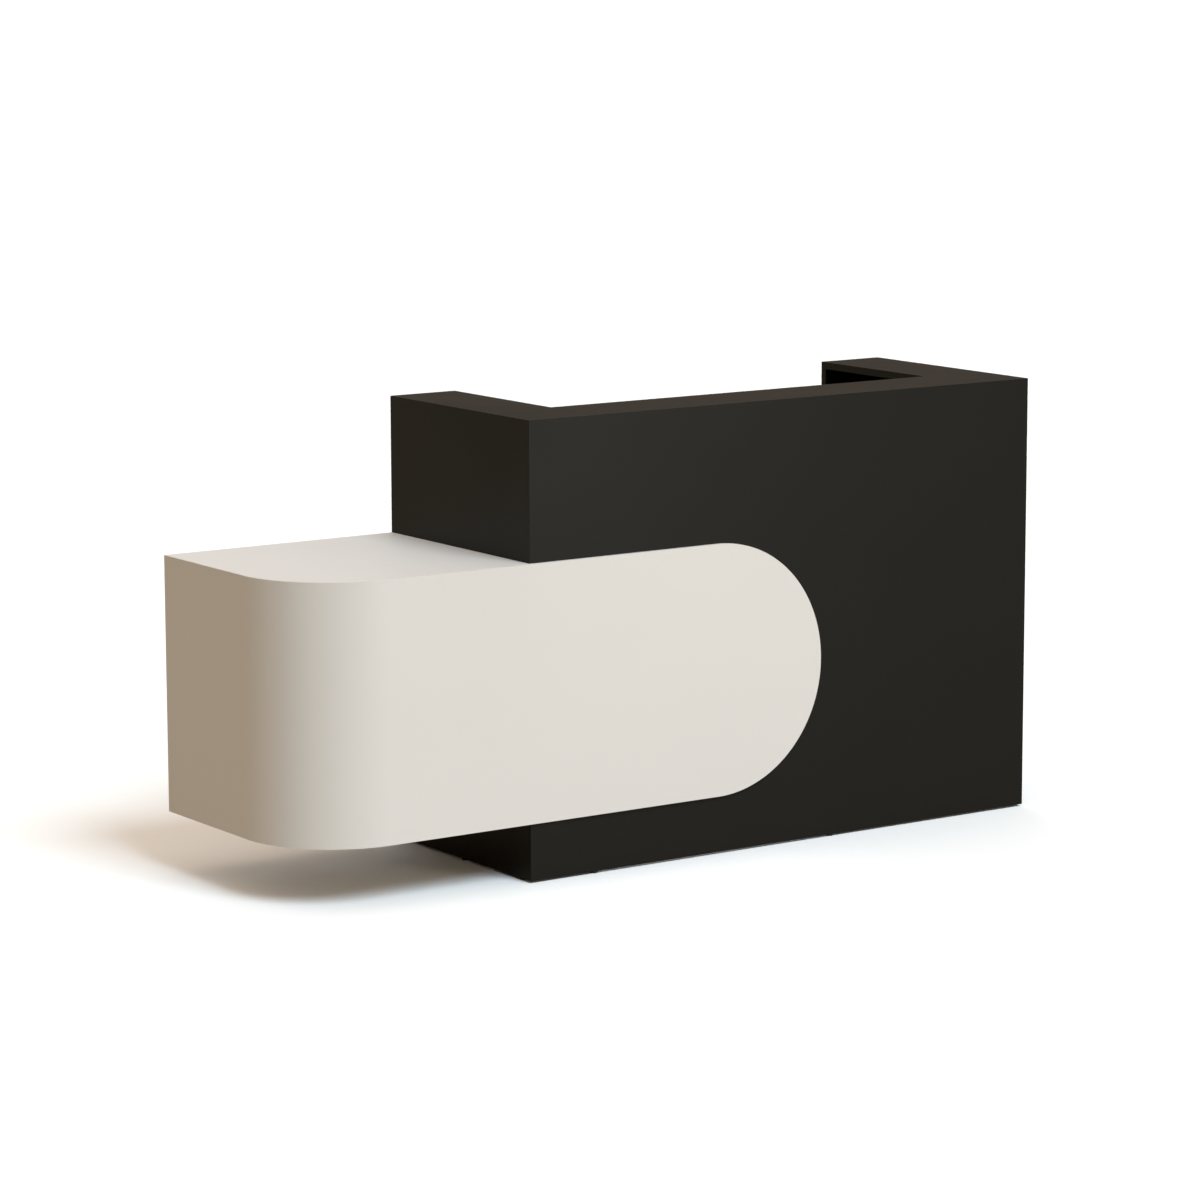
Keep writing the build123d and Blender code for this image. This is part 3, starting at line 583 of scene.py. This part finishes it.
def make_bent_board(name):
    """A board that follows the bend, with rounded rear edges."""
    low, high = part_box(name)
    radius = BEND_CENTRE.x - low.x
    outline = [(low.x, high.y)]
    outline += [(BEND_CENTRE.x + radius * math.cos(a), BEND_CENTRE.y + radius * math.sin(a)) for a in BEND]
    outline += [(high.x, low.y), (high.x, high.y)]
    bm = loft([[(x, y, z) for x, y in outline] for z in (low.z, high.z)])
    rear = [edge for edge in bm.edges if all(abs(v.co.y - high.y) < CLOSE for v in edge.verts)]
    round_edges(bm, [edge for edge in rear if abs(edge.verts[0].co.z - edge.verts[1].co.z) < CLOSE], EDGE)
    stand_for(to_object(f"{name}_board", bm, WHITE), name)


# ------------------------------------------------ Boards with holes and grooves

GROMMETS = solid_boxes("grommet_rings")
GROMMET_BORE = 30 * MM  # radius
DESK_NOSE = 3 * MM
NOSE_SEGMENTS = 6
PIN_PITCH = 32 * MM
PIN_ROWS = 5  # spare pin holes above and below each pin
PIN_HOLE = 2.6 * MM  # radius
PIN_HOLE_DEPTH = 10 * MM
SIDE_BOARD = 12 * MM  # drawer boxes
BOTTOM_BOARD = 5 * MM
BOTTOM_EDGE = 0.3 * MM
GROOVE = 6 * MM
GROOVE_LIFT = 8 * MM
GROOVE_EDGE = 0.2 * MM
LOCK_BODY = 9.5 * MM  # radius of the lock, and of its hole in the top drawer's front


def make_desktop():
    """The desktop reaches into both legs, has a soft rear nose, and two bores for cables."""
    low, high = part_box("desktop")
    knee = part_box("left_inner_panel")[1].x
    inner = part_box("right_inner_panel")[0].x
    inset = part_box("left_end_post")[0].y
    outline = [
        (low.x, low.y), (high.x, low.y), (high.x, inset), (inner, inset),
        (inner, high.y), (knee, high.y), (knee, inset), (low.x, inset),
    ]
    bm = loft([[(x, y, z) for x, y in outline] for z in (low.z, high.z)])
    nose = [e for e in bm.edges if all(v.co.y > high.y - CLOSE for v in e.verts)]
    nose = [e for e in nose if abs(e.verts[0].co.x - e.verts[1].co.x) > BOARD]
    round_edges(bm, nose, DESK_NOSE, NOSE_SEGMENTS)
    for box_low, box_high in GROMMETS:
        centre = (box_low + box_high) / 2
        bore = lathe(bar_profile(GROMMET_BORE, -BOARD * 2, BOARD * 2, EDGE), centre, segments=64)
        bm = combine(bm, bore, "DIFFERENCE")
    stand_for(to_object("desktop_board", bm, CHARCOAL), "desktop")


def make_gussets():
    boards = [rounded_block(low, high, EDGE) for low, high in solid_boxes("ledge_gussets")]
    stand_for(to_object("ledge_gusset_boards", gather(boards), CHARCOAL), "ledge_gussets")


def make_top_drawer_front():
    """The top drawer's face, with the hole that its lock sits in."""
    low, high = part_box("drawer_lock_housing")
    hole = lathe(bar_profile(LOCK_BODY, -2 * BOARD, 2 * BOARD, EDGE), (low + high) / 2, ALONG_Y)
    bm = combine(rounded_block(*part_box("drawer_1_front"), EDGE), hole, "DIFFERENCE")
    stand_for(to_object("drawer_1_front_board", bm, WHITE), "drawer_1_front")


def make_drawer_box(name):
    """Two grooved sides, a back, and a bottom that sits in the grooves."""
    low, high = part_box(name)
    floor_z = low.z + GROOVE_LIFT
    inner = low.x + SIDE_BOARD, high.x - SIDE_BOARD
    bottom = ((inner[0] - GROOVE, low.y, floor_z), (inner[1] + GROOVE, high.y, floor_z + BOTTOM_BOARD))
    slot = ((bottom[0][0], low.y - EDGE, bottom[0][2]), (bottom[1][0], high.y + EDGE, bottom[1][2]))
    back = ((inner[0], low.y, bottom[1][2]), (inner[1], low.y + SIDE_BOARD, high.z))
    boards = [rounded_block(*bottom, BOTTOM_EDGE), rounded_block(*back, EDGE)]
    for start, end in ((low.x, inner[0]), (inner[1], high.x)):
        side = rounded_block((start, low.y, low.z), (end, high.y, high.z), EDGE)
        boards.append(combine(side, rounded_block(*slot, GROOVE_EDGE), "DIFFERENCE"))
    stand_for(to_object(f"{name}_boards", gather(boards), MELAMINE), name)


def make_pin_boards():
    """The low counter's sides, each with two rows of holes for the shelf pins."""
    hole = [(0, -EDGE), (PIN_HOLE, -EDGE), (PIN_HOLE, PIN_HOLE_DEPTH), (0, PIN_HOLE_DEPTH)]
    for name, face, inward in (("low_counter_outer_side", 1, 1), ("low_counter_inner_side", 0, -1)):
        low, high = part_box(name)
        wall = (low, high)[face].x
        holes = []
        for pin_low, pin_high in solid_boxes("shelf_pins"):
            pin = (pin_low + pin_high) / 2
            if abs(pin.x - wall) > BOARD:
                continue
            for step in range(-PIN_ROWS, PIN_ROWS + 1):
                place = (wall, pin.y, pin.z + step * PIN_PITCH)
                holes.append(lathe(hole, place, (-inward, 0, 0), 20))
        bm = combine(rounded_block(low, high, EDGE), gather(holes), "DIFFERENCE")
        stand_for(to_object(f"{name}_board", bm, WHITE), name)


# ------------------------------------------------ Handles, lock and key

HANDLE_RADIUS = 5 * MM
HANDLE_END = 1.2 * MM  # rounding of its ends
HANDLE_STEP = 64 * MM  # from a handle's middle to either post
POST = 4 * MM
COLLAR = [  # radius and height in millimetres, from the board up to the post
    (0, 0), (6.3, 0), (6.5, 0.2), (6.5, 1.1), (6.3, 1.3), (4.5, 1.35), (4.1, 1.5), (4.0, 1.8),
]


def make_handle(name, along):
    """A round bar with softened ends, on two posts with collars."""
    low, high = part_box(name)
    centre = (low + high) / 2
    run = Vector(ALONG_X if along == "X" else UP)
    half = (high - low).dot(run) / 2
    axis = Vector((centre.x, high.y - HANDLE_RADIUS, centre.z))
    bm = lathe(bar_profile(HANDLE_RADIUS, -half, half, HANDLE_END), axis, run, 40)
    reach = axis.y - low.y
    profile = from_mm(COLLAR) + [(POST, reach), (0, reach)]
    for side in (-HANDLE_STEP, HANDLE_STEP):
        foot = Vector((centre.x, low.y, centre.z)) + side * run
        bm = combine(bm, lathe(profile, foot, ALONG_Y, 32), "UNION")
    stand_for(to_object(f"{name}_bar", bm, SATIN[along]), name)


LOCK_LOW, LOCK_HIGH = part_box("drawer_lock_housing")
LOCK = Vector(((LOCK_LOW.x + LOCK_HIGH.x) / 2, FACE_Y, (LOCK_LOW.z + LOCK_HIGH.z) / 2))
LOCK_FACE = LOCK_HIGH.y - FACE_Y
LOCK_TAIL = LOCK_LOW.y - FACE_Y
LOCK_BORE = 6.05 * MM
FLANGE = 11.5 * MM  # radius
BARREL = 6 * MM  # radius
BARREL_TAIL = 1 * MM  # how far the barrel reaches past the case
CAM = 5 * MM  # half the cam's height, and its reach past the axis
CAM_EDGE = 0.5 * MM
KEYWAY = (1.2 * MM, 7 * MM, 12 * MM)  # width, height, depth
KEYWAY_EDGE = 0.15 * MM
KEY_PLAY = 0.1 * MM
KEY_CUTS = (1.4, 0.5, 1.8, 0.9)  # depths in mm, from the tip
KEY_CUT_PITCH = 2.2 * MM
KEY_EDGE = 0.5 * MM
BOW_RADIUS = 8.5 * MM
BOW_HOLE = 2 * MM
SHOULDER = (0.9 * MM, 4.6 * MM)  # half its thickness and half its height


def make_lock():
    """The lock's case with its soft flange, and its barrel with a dished face, a keyway and the cam."""
    face, tail = LOCK_FACE, LOCK_TAIL
    case = [
        (LOCK_BORE, tail), (LOCK_BODY, tail), (LOCK_BODY, 0), (FLANGE, 0), (FLANGE, face - 0.9 * MM),
        (11.35 * MM, face - 0.45 * MM), (11.0 * MM, face - 0.12 * MM), (10.5 * MM, face),
        (6.7 * MM, face), (6.25 * MM, face - 0.12 * MM), (LOCK_BORE, face - 0.4 * MM),
    ]
    stand_for(to_object("lock_case", lathe(case, LOCK, ALONG_Y, 64, True), CHROME), "drawer_lock_housing")
    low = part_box("drawer_lock_barrel")[0]
    back = tail - BARREL_TAIL
    barrel = [
        (0, back), (BARREL, back), (BARREL, face - 0.35 * MM), (5.9 * MM, face - 0.1 * MM),
        (5.7 * MM, face), (4.9 * MM, face), (4.6 * MM, face - 0.3 * MM), (0, face - 0.3 * MM),
    ]
    bm = lathe(barrel, LOCK, ALONG_Y, 64)
    width, height, depth = KEYWAY
    slot_low = LOCK + Vector((-width / 2, face - depth, -height / 2))
    slot_high = LOCK + Vector((width / 2, face + 1 * MM, height / 2))
    bm = combine(bm, rounded_block(slot_low, slot_high, KEYWAY_EDGE), "DIFFERENCE")
    cam_low = (low.x, low.y, LOCK.z - CAM)
    cam_high = (LOCK.x + CAM, LOCK.y + back + 0.5 * MM, LOCK.z + CAM)
    bm = combine(bm, rounded_block(cam_low, cam_high, CAM_EDGE), "UNION")
    stand_for(to_object("lock_plug", bm, CHROME), "drawer_lock_barrel")


def make_key():
    """A flat key: a blade with stepped cuts, a shoulder, and a round bow with a hole."""
    half = KEYWAY[1] / 2 - KEY_PLAY
    thick = KEYWAY[0] / 2 - KEY_PLAY
    tip = LOCK_FACE - KEYWAY[2] + 1 * MM
    bow = LOCK_FACE + 2 * MM + BOW_RADIUS
    edge = [(bow, half), (tip + 1.6 * MM, half), (tip, half - 2.2 * MM), (tip, -half + 2.4 * MM)]
    for number, cut in enumerate(KEY_CUTS):
        y = tip + (0.9 + 0.1 * number) * MM + number * KEY_CUT_PITCH
        z = -half + cut * MM
        edge += [(y, -half + 0.1 * MM), (y + 0.6 * MM, z), (y + 1.2 * MM, z), (y + 1.9 * MM, -half)]
    edge += [(bow, -half)]
    blade = loft([[(LOCK.x + x, LOCK.y + y, LOCK.z + z) for y, z in edge] for x in (-thick, thick)])
    shoulder_x, shoulder_z = SHOULDER
    shoulder_low = LOCK + Vector((-shoulder_x, LOCK_FACE + 0.4 * MM, -shoulder_z))
    shoulder_high = LOCK + Vector((shoulder_x, bow - 6 * MM, shoulder_z))
    shoulder = rounded_block(shoulder_low, shoulder_high, 0.4 * MM)
    centre = LOCK + Vector((0, bow, 0))
    disc = lathe(bar_profile(BOW_RADIUS, -1 * MM, 1 * MM, KEY_EDGE), centre, ALONG_X, 56)
    hole_centre = centre + Vector((0, 4 * MM, 0))
    hole = lathe(bar_profile(BOW_HOLE, -3 * MM, 3 * MM, KEY_EDGE), hole_centre, ALONG_X, 32)
    head = combine(combine(disc, shoulder, "UNION"), hole, "DIFFERENCE")
    stand_for(to_object("flat_key", combine(head, blade, "UNION"), BRASS), "drawer_key")


# ------------------------------------------------ Cable grommets and glides

RIM_STEPS = 6
CAP_RADIUS = 26.6 * MM
CAP_SEAT = DESK_TOP - 1 * MM
NOTCH = 7 * MM  # half the width of a cap's cable notch
NOTCH_DEPTH = 16 * MM
NOTCH_FLARE = 1.2 * MM
NOTCH_STEPS = 24
GLIDE = [  # radius and height in millimetres
    (0, 0), (7.4, 0), (8.2, 0.35), (8.5, 1.1), (8.5, 2.6), (8.1, 3.3), (7.2, 3.7), (4.5, 3.8), (4.5, 5),
    (0, 5),
]


def make_grommets():
    """Two flanged rings with crowned rims, which line the desktop's bores."""
    rings = []
    for low, high in GROMMETS:
        centre = (low + high) / 2
        foot = low.z - DESK_TOP
        profile = [(24 * MM, foot), *from_mm([(24, -1), (27, -1), (27, 2.6), (27.4, 3)])]
        profile += [
            ((31 + 3 * math.sin(t)) * MM, (0.5 + 2.5 * math.cos(t)) * MM) for t in quarter_turn(RIM_STEPS)
        ]
        profile += [(34 * MM, 0), (GROMMET_BORE, 0), (GROMMET_BORE, foot)]
        rings.append(lathe(profile, (centre.x, centre.y, DESK_TOP), segments=72, ring=True))
    stand_for(to_object("cable_grommet_rings", gather(rings), BLACK_PLASTIC), "grommet_rings")


def make_cap(side):
    """A round cap with a ringed top and a U-shaped cable notch with flared lips."""
    name = f"{side}_grommet_cap"
    low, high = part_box(name)
    centre = (low + high) / 2
    top = high.z - CAP_SEAT
    profile = [
        (0, 0), (CAP_RADIUS - 0.3 * MM, 0), (CAP_RADIUS, 0.3 * MM), (CAP_RADIUS, top - 0.8 * MM),
        (CAP_RADIUS - 0.25 * MM, top - 0.25 * MM), (CAP_RADIUS - 0.8 * MM, top), (22 * MM, top),
        (21.6 * MM, top - 0.5 * MM), (20.4 * MM, top - 0.5 * MM), (20 * MM, top), (0, top),
    ]
    bm = lathe(profile, (centre.x, centre.y, CAP_SEAT), segments=72)
    floor_y = centre.y + CAP_RADIUS - NOTCH_DEPTH + NOTCH
    turns = [math.pi * (1 + k / NOTCH_STEPS) for k in range(NOTCH_STEPS + 1)]
    loops = []
    for height, flare in ((-1 * MM, 0), (top - 0.6 * MM, 0), (top + 0.6 * MM, NOTCH_FLARE)):
        reach = NOTCH + flare
        loop = [(centre.x + reach * math.cos(t), floor_y + reach * math.sin(t)) for t in turns]
        loop += [(centre.x + reach, floor_y + CAP_RADIUS), (centre.x - reach, floor_y + CAP_RADIUS)]
        loops.append([(x, y, CAP_SEAT + height) for x, y in loop])
    notched = combine(bm, loft(loops), "DIFFERENCE")
    stand_for(to_object(f"{side}_cable_cap_disc", notched, BLACK_PLASTIC), name)


def make_glides():
    """Nail-on glides: a moulded foot on a narrower neck."""
    feet = []
    for low, high in solid_boxes("floor_glides"):
        feet.append(lathe(from_mm(GLIDE), ((low.x + high.x) / 2, (low.y + high.y) / 2, low.z)))
    stand_for(to_object("moulded_glides", gather(feet), BLACK_PLASTIC), "floor_glides")


# ------------------------------------------------ Screws, bolts and pins

SCREW_DOME = [(1, -0.2), (1, 0.1), (0.8, 0.4), (0.45, 0.6)]  # share of the head's radius, height in mm
BOLT = 4 * MM  # radius at the crests
BOLT_ROOT = 3.4 * MM  # radius between them
THREAD_PITCH = 1.25 * MM
WASHER = 1 * MM
NUT = 5.5 * MM
HEXAGON = 7.5 * MM  # from the middle to a corner, of a bolt's head and nut
# Radius in mm, share of the washer's thickness
WASHER_PROFILE = [(4.2, 0), (9.6, 0), (9.8, 0.2), (9.8, 0.8), (9.6, 1), (4.2, 1)]
PIN_COLLAR = 4 * MM
PIN_SOFT = 0.6 * MM


def screw_heads(name, spots, radius, body):
    """Cross-head screws. A spot is a place on a surface and the direction that the head faces."""
    dome = [(radius * share, height * MM) for share, height in SCREW_DOME]
    head = lathe([(0, -0.2 * MM), *dome, (0, 0.66 * MM)], (0, 0, 0), segments=28)
    arm, blade = radius * 0.62, radius * 0.13
    for half_x, half_y in ((arm, blade), (blade, arm)):
        cross = rounded_block((-half_x, -half_y, 0.2 * MM), (half_x, half_y, 2 * MM), radius * 0.05)
        head = combine(head, cross, "DIFFERENCE")
    mesh = bpy.data.meshes.new("head")
    head.to_mesh(mesh)
    head.free()
    bm = bmesh.new()
    for place, direction in spots:
        started = len(bm.verts)
        bm.from_mesh(mesh)
        bm.verts.ensure_lookup_table()
        bmesh.ops.transform(bm, matrix=facing(place, direction), verts=bm.verts[started:])
    bpy.data.meshes.remove(mesh)
    add_to(to_object(name, bm, NICKEL), body)


def hexagon(place, low, high):
    """A hexagonal head along X, with its corners turned down at the high end."""
    turns = [math.pi / 3 * k for k in range(6)]
    loops = []
    for height, share in ((low, 1.0), (low + (high - low) * 0.82, 1.0), (high, 0.88)):
        reach = HEXAGON * share
        loop = [(place.y + reach * math.cos(t), place.z + reach * math.sin(t)) for t in turns]
        loops.append([(place.x + height, y, z) for y, z in loop])
    return loft(loops)


def make_bolts():
    """Each joining bolt has a head, two washers, a nut and a threaded tail."""
    parts = []
    for low, high in solid_boxes("joining_bolts"):
        axis = Vector((TALL_LOW.x, (low.y + high.y) / 2, (low.z + high.z) / 2))
        head, tail = low.x - axis.x, high.x - axis.x
        thread = [(0, -BOARD - 0.5 * MM), (BOLT, -BOARD - 0.5 * MM)]
        for n in range(int((tail - BOARD - WASHER) / THREAD_PITCH)):
            start = BOARD + n * THREAD_PITCH
            thread += [(BOLT, start + 0.2 * MM), (BOLT_ROOT, start + 0.75 * MM)]
        thread += [(3.3 * MM, tail), (0, tail)]
        parts.append(lathe(thread, axis, ALONG_X, 28))
        parts.append(hexagon(axis, -BOARD - WASHER, head))
        parts.append(hexagon(axis, BOARD + WASHER, BOARD + WASHER + NUT))
        for inner, outer in ((-BOARD - WASHER, -BOARD), (BOARD, BOARD + WASHER)):
            profile = [(r * MM, inner + share * (outer - inner)) for r, share in WASHER_PROFILE]
            parts.append(lathe(profile, axis, ALONG_X, 40, True))
    stand_for(to_object("joining_bolt_sets", gather(parts), NICKEL), "joining_bolts")


def make_pins():
    """Shelf pins with a thin collar against the board."""
    parts = []
    for low, high in solid_boxes("shelf_pins"):
        centre = (low + high) / 2
        half, radius = (high.x - low.x) / 2, (high.z - low.z) / 2
        inward = 1 if centre.x < (TALL_LOW.x + LOW.x) / 2 else -1
        profile = [
            (0, -half), (radius, -half), (radius, 0), (PIN_COLLAR, 0), (PIN_COLLAR, 0.6 * MM),
            (3.8 * MM, 0.8 * MM), (radius, 0.8 * MM), (radius, half - PIN_SOFT), (radius - PIN_SOFT, half),
            (0, half),
        ]
        parts.append(lathe(profile, centre, (inward, 0, 0), 28))
    stand_for(to_object("collared_shelf_pins", gather(parts), NICKEL), "shelf_pins")


# ------------------------------------------------ Slides

DRAWERS = (1, 2, 3)
SHEET = 1.2 * MM
CAGE_LENGTH = 100 * MM
CAGE_SETBACK = 12 * MM  # from the front end of the middle channel
CAGE_STRIP = (2.2 * MM, 0.3 * MM)  # half its width and half its thickness
BALL = 0.95 * MM
BALL_PITCH = 8 * MM
BALL_STEPS = 8
RACE = 17.5 * MM  # from a slide's middle to its balls
SLIDE_SCREW = 3 * MM
SLIDE_SCREW_INSET = 37 * MM  # from either end of a channel
RIVET = 2.2 * MM
RIVET_HEIGHT = 0.5 * MM
RIVET_SUNK = 0.1 * MM
RIVET_INSET = 12 * MM
RIVET_ROWS = (-9 * MM, 9 * MM)  # above and below a channel's middle
TRAY_SCREW = 2.4 * MM
TRAY_SCREW_INSET = 30 * MM
HANGER_SCREW = 3.2 * MM
HANGER_SCREW_IN = 14 * MM  # from a flange's outer edge
HANGER_SHEET = 2 * MM
STRIKE_SCREW = 2.2 * MM
STRIKE_SCREW_IN = 6 * MM
STRIKE_SHEET = 1.5 * MM


def inward_of(box, node_name):
    """+1 for a channel left of its node's middle, with its wall at its lower x, and -1 on the right."""
    node_low, node_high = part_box(node_name)
    return 1 if box[0].x + box[1].x < node_low.x + node_high.x else -1


def channel_spots(name, web_at_wall, on_wall_side, inset, rows=(0,)):
    """Spots along the webs of a node's channels, on the face of the web that looks to the wall or away."""
    spots = []
    for low, high in solid_boxes(name):
        inward = inward_of((low, high), name)
        wall_side, far_side = (low.x, high.x) if inward > 0 else (high.x, low.x)
        x = wall_side if web_at_wall else far_side - inward * SHEET
        if not on_wall_side:
            x += inward * SHEET
        direction = (-inward if on_wall_side else inward, 0, 0)
        for y in (low.y + inset, (low.y + high.y) / 2, high.y - inset):
            spots += [((x, y, (low.z + high.z) / 2 + row), direction) for row in rows]
    return spots


def make_rivets(name, spots, body):
    """Low round rivet heads."""
    profile = [
        (0, -RIVET_SUNK), (RIVET, -RIVET_SUNK), (RIVET, RIVET_HEIGHT * 0.3),
        (RIVET * 0.75, RIVET_HEIGHT * 0.8), (0, RIVET_HEIGHT),
    ]
    heads = [lathe(profile, place, direction, 20) for place, direction in spots]
    add_to(to_object(name, gather(heads), ZINC), body)


def make_ball_cages(number):
    """Cages with their balls, in the races of a drawer's middle channels, near the front end."""
    turns = [math.pi * k / BALL_STEPS for k in range(1, BALL_STEPS)]
    ball = [(0, -BALL), *((BALL * math.sin(t), -BALL * math.cos(t)) for t in turns), (0, BALL)]
    half_width, half_thick = CAGE_STRIP
    parts = []
    name = f"drawer_{number}_middle_rails"
    for low, high in solid_boxes(name):
        x = (low.x + high.x) / 2 + inward_of((low, high), name) * MM
        end = high.y - CAGE_SETBACK
        for side in (-1, 1):
            z = (low.z + high.z) / 2 + side * RACE
            strip_low = (x - half_width, end - CAGE_LENGTH, z - half_thick)
            parts.append(rounded_block(strip_low, (x + half_width, end, z + half_thick), 0.1 * MM))
            for n in range(int(CAGE_LENGTH / BALL_PITCH)):
                parts.append(lathe(ball, (x, end - (n + 0.5) * BALL_PITCH, z), segments=14))
    made = to_object(f"drawer_{number}_ball_cages", gather(parts), CHROME)
    add_to(made, f"drawer_{number}_middle_slides")


def make_slide_details():
    """Fixing screws on the fixed and drawer channels, rivets on the middle ones, and ball cages."""
    fixed = channel_spots("pedestal_rails", True, False, SLIDE_SCREW_INSET)
    screw_heads("pedestal_slide_screws", fixed, SLIDE_SCREW, "counter")
    for number in DRAWERS:
        moving = channel_spots(f"drawer_{number}_rails", False, True, SLIDE_SCREW_INSET)
        screw_heads(f"drawer_{number}_slide_screws", moving, SLIDE_SCREW, f"drawer_{number}")
        rivets = channel_spots(f"drawer_{number}_middle_rails", True, True, RIVET_INSET, RIVET_ROWS)
        make_rivets(f"drawer_{number}_slide_rivets", rivets, f"drawer_{number}_middle_slides")
        make_ball_cages(number)
    tray = channel_spots("tray_rails", False, True, TRAY_SCREW_INSET)
    screw_heads("tray_slide_screws", tray, TRAY_SCREW, "tray")
    low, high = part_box("tray_hangers")
    flange = []
    for x in (low.x + HANGER_SCREW_IN, high.x - HANGER_SCREW_IN):
        for y in (low.y + TRAY_SCREW_INSET, (low.y + high.y) / 2, high.y - TRAY_SCREW_INSET):
            flange.append(((x, y, high.z - HANGER_SHEET), DOWN))
    screw_heads("tray_hanger_screws", flange, HANGER_SCREW, "counter")
    low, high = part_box("drawer_lock_strike")
    strike = []
    for x in (low.x + STRIKE_SCREW_IN, high.x - STRIKE_SCREW_IN):
        strike.append(((x, low.y + STRIKE_SCREW_IN, high.z - STRIKE_SHEET), DOWN))
    screw_heads("lock_strike_screws", strike, STRIKE_SCREW, "counter")


# ------------------------------------------------ Door hinges

KNUCKLE = 2.8 * MM
KNUCKLES = 5
KNUCKLE_GAP = 0.2 * MM  # left at each end of a knuckle
KNUCKLE_SOFT = 0.3 * MM
HINGE_PIN = 1.5 * MM
HINGE_BORE = HINGE_PIN + 0.05 * MM
HINGE_LENGTH = 50 * MM
HINGE_AXIS_IN = 3.2 * MM  # from the face that the hinge hangs on
LEAF = 1.3 * MM
LEAF_WIDTH = 20 * MM
LEAF_GAP = 3 * MM  # both leaves lie in this gap
LEAF_EDGE = 0.3 * MM
HINGE_SCREW = 2.4 * MM
HINGE_SCREW_STEP = 17 * MM
HINGE_SCREW_SUNK = 0.45 * MM


def hinge_half(wall, way, axis_y, centre, on_door):
    """One half of a butt hinge: its leaf, the tabs that wrap round, and its own knuckles."""
    span = (LEAF_GAP - LEAF, LEAF_GAP) if on_door else (0, LEAF)
    x = sorted(wall + way * reach for reach in span)
    low = centre - HINGE_LENGTH / 2
    clear = axis_y - KNUCKLE - KNUCKLE_SOFT
    pitch = HINGE_LENGTH / KNUCKLES
    leaf_low = (x[0], axis_y - LEAF_WIDTH, low)
    parts = [rounded_block(leaf_low, (x[1], clear, low + HINGE_LENGTH), LEAF_EDGE)]
    for n in range(1 if on_door else 0, KNUCKLES, 2):
        foot = low + n * pitch + KNUCKLE_GAP
        head = low + (n + 1) * pitch - KNUCKLE_GAP
        tab_low = (x[0], clear - 0.5 * MM, foot)
        parts.append(rounded_block(tab_low, (x[1], axis_y - HINGE_PIN, head), 0.2 * MM))
        rim = KNUCKLE - KNUCKLE_SOFT
        profile = [
            (HINGE_BORE, foot), (rim, foot), (KNUCKLE, foot + KNUCKLE_SOFT),
            (KNUCKLE, head - KNUCKLE_SOFT), (rim, head), (HINGE_BORE, head),
        ]
        parts.append(lathe(profile, (wall + way * HINGE_AXIS_IN, axis_y, 0), segments=32, ring=True))
    return parts


def make_hinges():
    """Both doors' hinges. The leaves carry three screws each, and the pins end in small buttons."""
    frame_low, frame_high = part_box("frame_hinge_leaves")
    axis_y = frame_high.y - KNUCKLE
    half = HINGE_LENGTH / 2
    foot = [
        (0, -half - 1.2 * MM), (1.2 * MM, -half - 1.1 * MM), (2.2 * MM, -half - 0.6 * MM),
        (2.3 * MM, -half - 0.1 * MM), (HINGE_PIN, -half - 0.1 * MM),
    ]
    pin = foot + [(r, -h) for r, h in reversed(foot)]
    fixed, fixed_screws = [], []
    for side, wall, way in (("left", frame_low.x, 1), ("right", frame_high.x, -1)):
        moving, moving_screws = [], []
        for centre in (frame_low.z + half, frame_high.z - half):
            moving += hinge_half(wall, way, axis_y, centre, True)
            fixed += hinge_half(wall, way, axis_y, centre, False)
            fixed.append(lathe(pin, (wall + way * HINGE_AXIS_IN, axis_y, centre), segments=28))
            for step in (-HINGE_SCREW_STEP, 0, HINGE_SCREW_STEP):
                y = axis_y - LEAF_WIDTH + (7 if step else 11) * MM
                on_frame = wall + way * (LEAF - HINGE_SCREW_SUNK)
                on_door = wall + way * (LEAF_GAP - LEAF + HINGE_SCREW_SUNK)
                fixed_screws.append(((on_frame, y, centre + step), (way, 0, 0)))
                moving_screws.append(((on_door, y, centre + step), (-way, 0, 0)))
        halves = to_object(f"{side}_door_hinge_halves", gather(moving), NICKEL)
        stand_for(halves, f"{side}_door_hinge_leaves")
        screw_heads(f"{side}_door_hinge_screws", moving_screws, HINGE_SCREW, f"{side}_cabinet_door")
    stand_for(to_object("frame_hinge_halves", gather(fixed), NICKEL), "frame_hinge_leaves")
    screw_heads("frame_hinge_screws", fixed_screws, HINGE_SCREW, "counter")


# ------------------------------------------------ Build

make_camera()
make_world(horizon=(0.16, 0.13, 0.10), zenith=(1.18, 0.97, 0.77), seen=(0.94, 0.94, 0.94))
make_sun("key", azimuth=4, elevation=49, power=2.55, spread_angle=28, colour=(0.70, 0.865, 1.0))
make_sun(
    "rear_fill", azimuth=168, elevation=14, power=0.95, spread_angle=50, colour=(0.86, 0.93, 1.0),
    in_gloss=False,
)
make_panel_light("right_softbox", (2.6, -6.5, 1.1), size=1.6, power=110.0, colour=(1.0, 0.97, 0.93))
bpy.context.scene.view_settings.view_transform = "Standard"

make_boards()
make_desktop()
make_gussets()
make_top_drawer_front()
make_pin_boards()
for drawer in DRAWERS:
    make_drawer_box(f"drawer_{drawer}_box")
    make_handle(f"drawer_{drawer}_handle", "X")
make_handle("left_door_handle", "Z")
make_handle("right_door_handle", "Z")
make_lock()
make_key()
make_grommets()
make_cap("left")
make_cap("right")
make_glides()
make_bolts()
make_pins()
make_slide_details()
make_hinges()
make_skin()
for bent_board in ("low_counter_top", "low_counter_bottom", "low_counter_shelf"):
    make_bent_board(bent_board)

# CAD nodes that no piece stands for are shown with these finishes too
for cad_name, cad in frame["nodes"].items():
    for index in range(len(cad.data.materials)):
        cad.data.materials[index] = MATERIAL_OF[SLOT_OF[cad_name]]

floor_mesh = bmesh.new()
bmesh.ops.create_grid(floor_mesh, x_segments=8, y_segments=8, size=FLOOR_HALF)
floor = to_object("floor", floor_mesh, floor_material(FLOOR_BOUNCE))
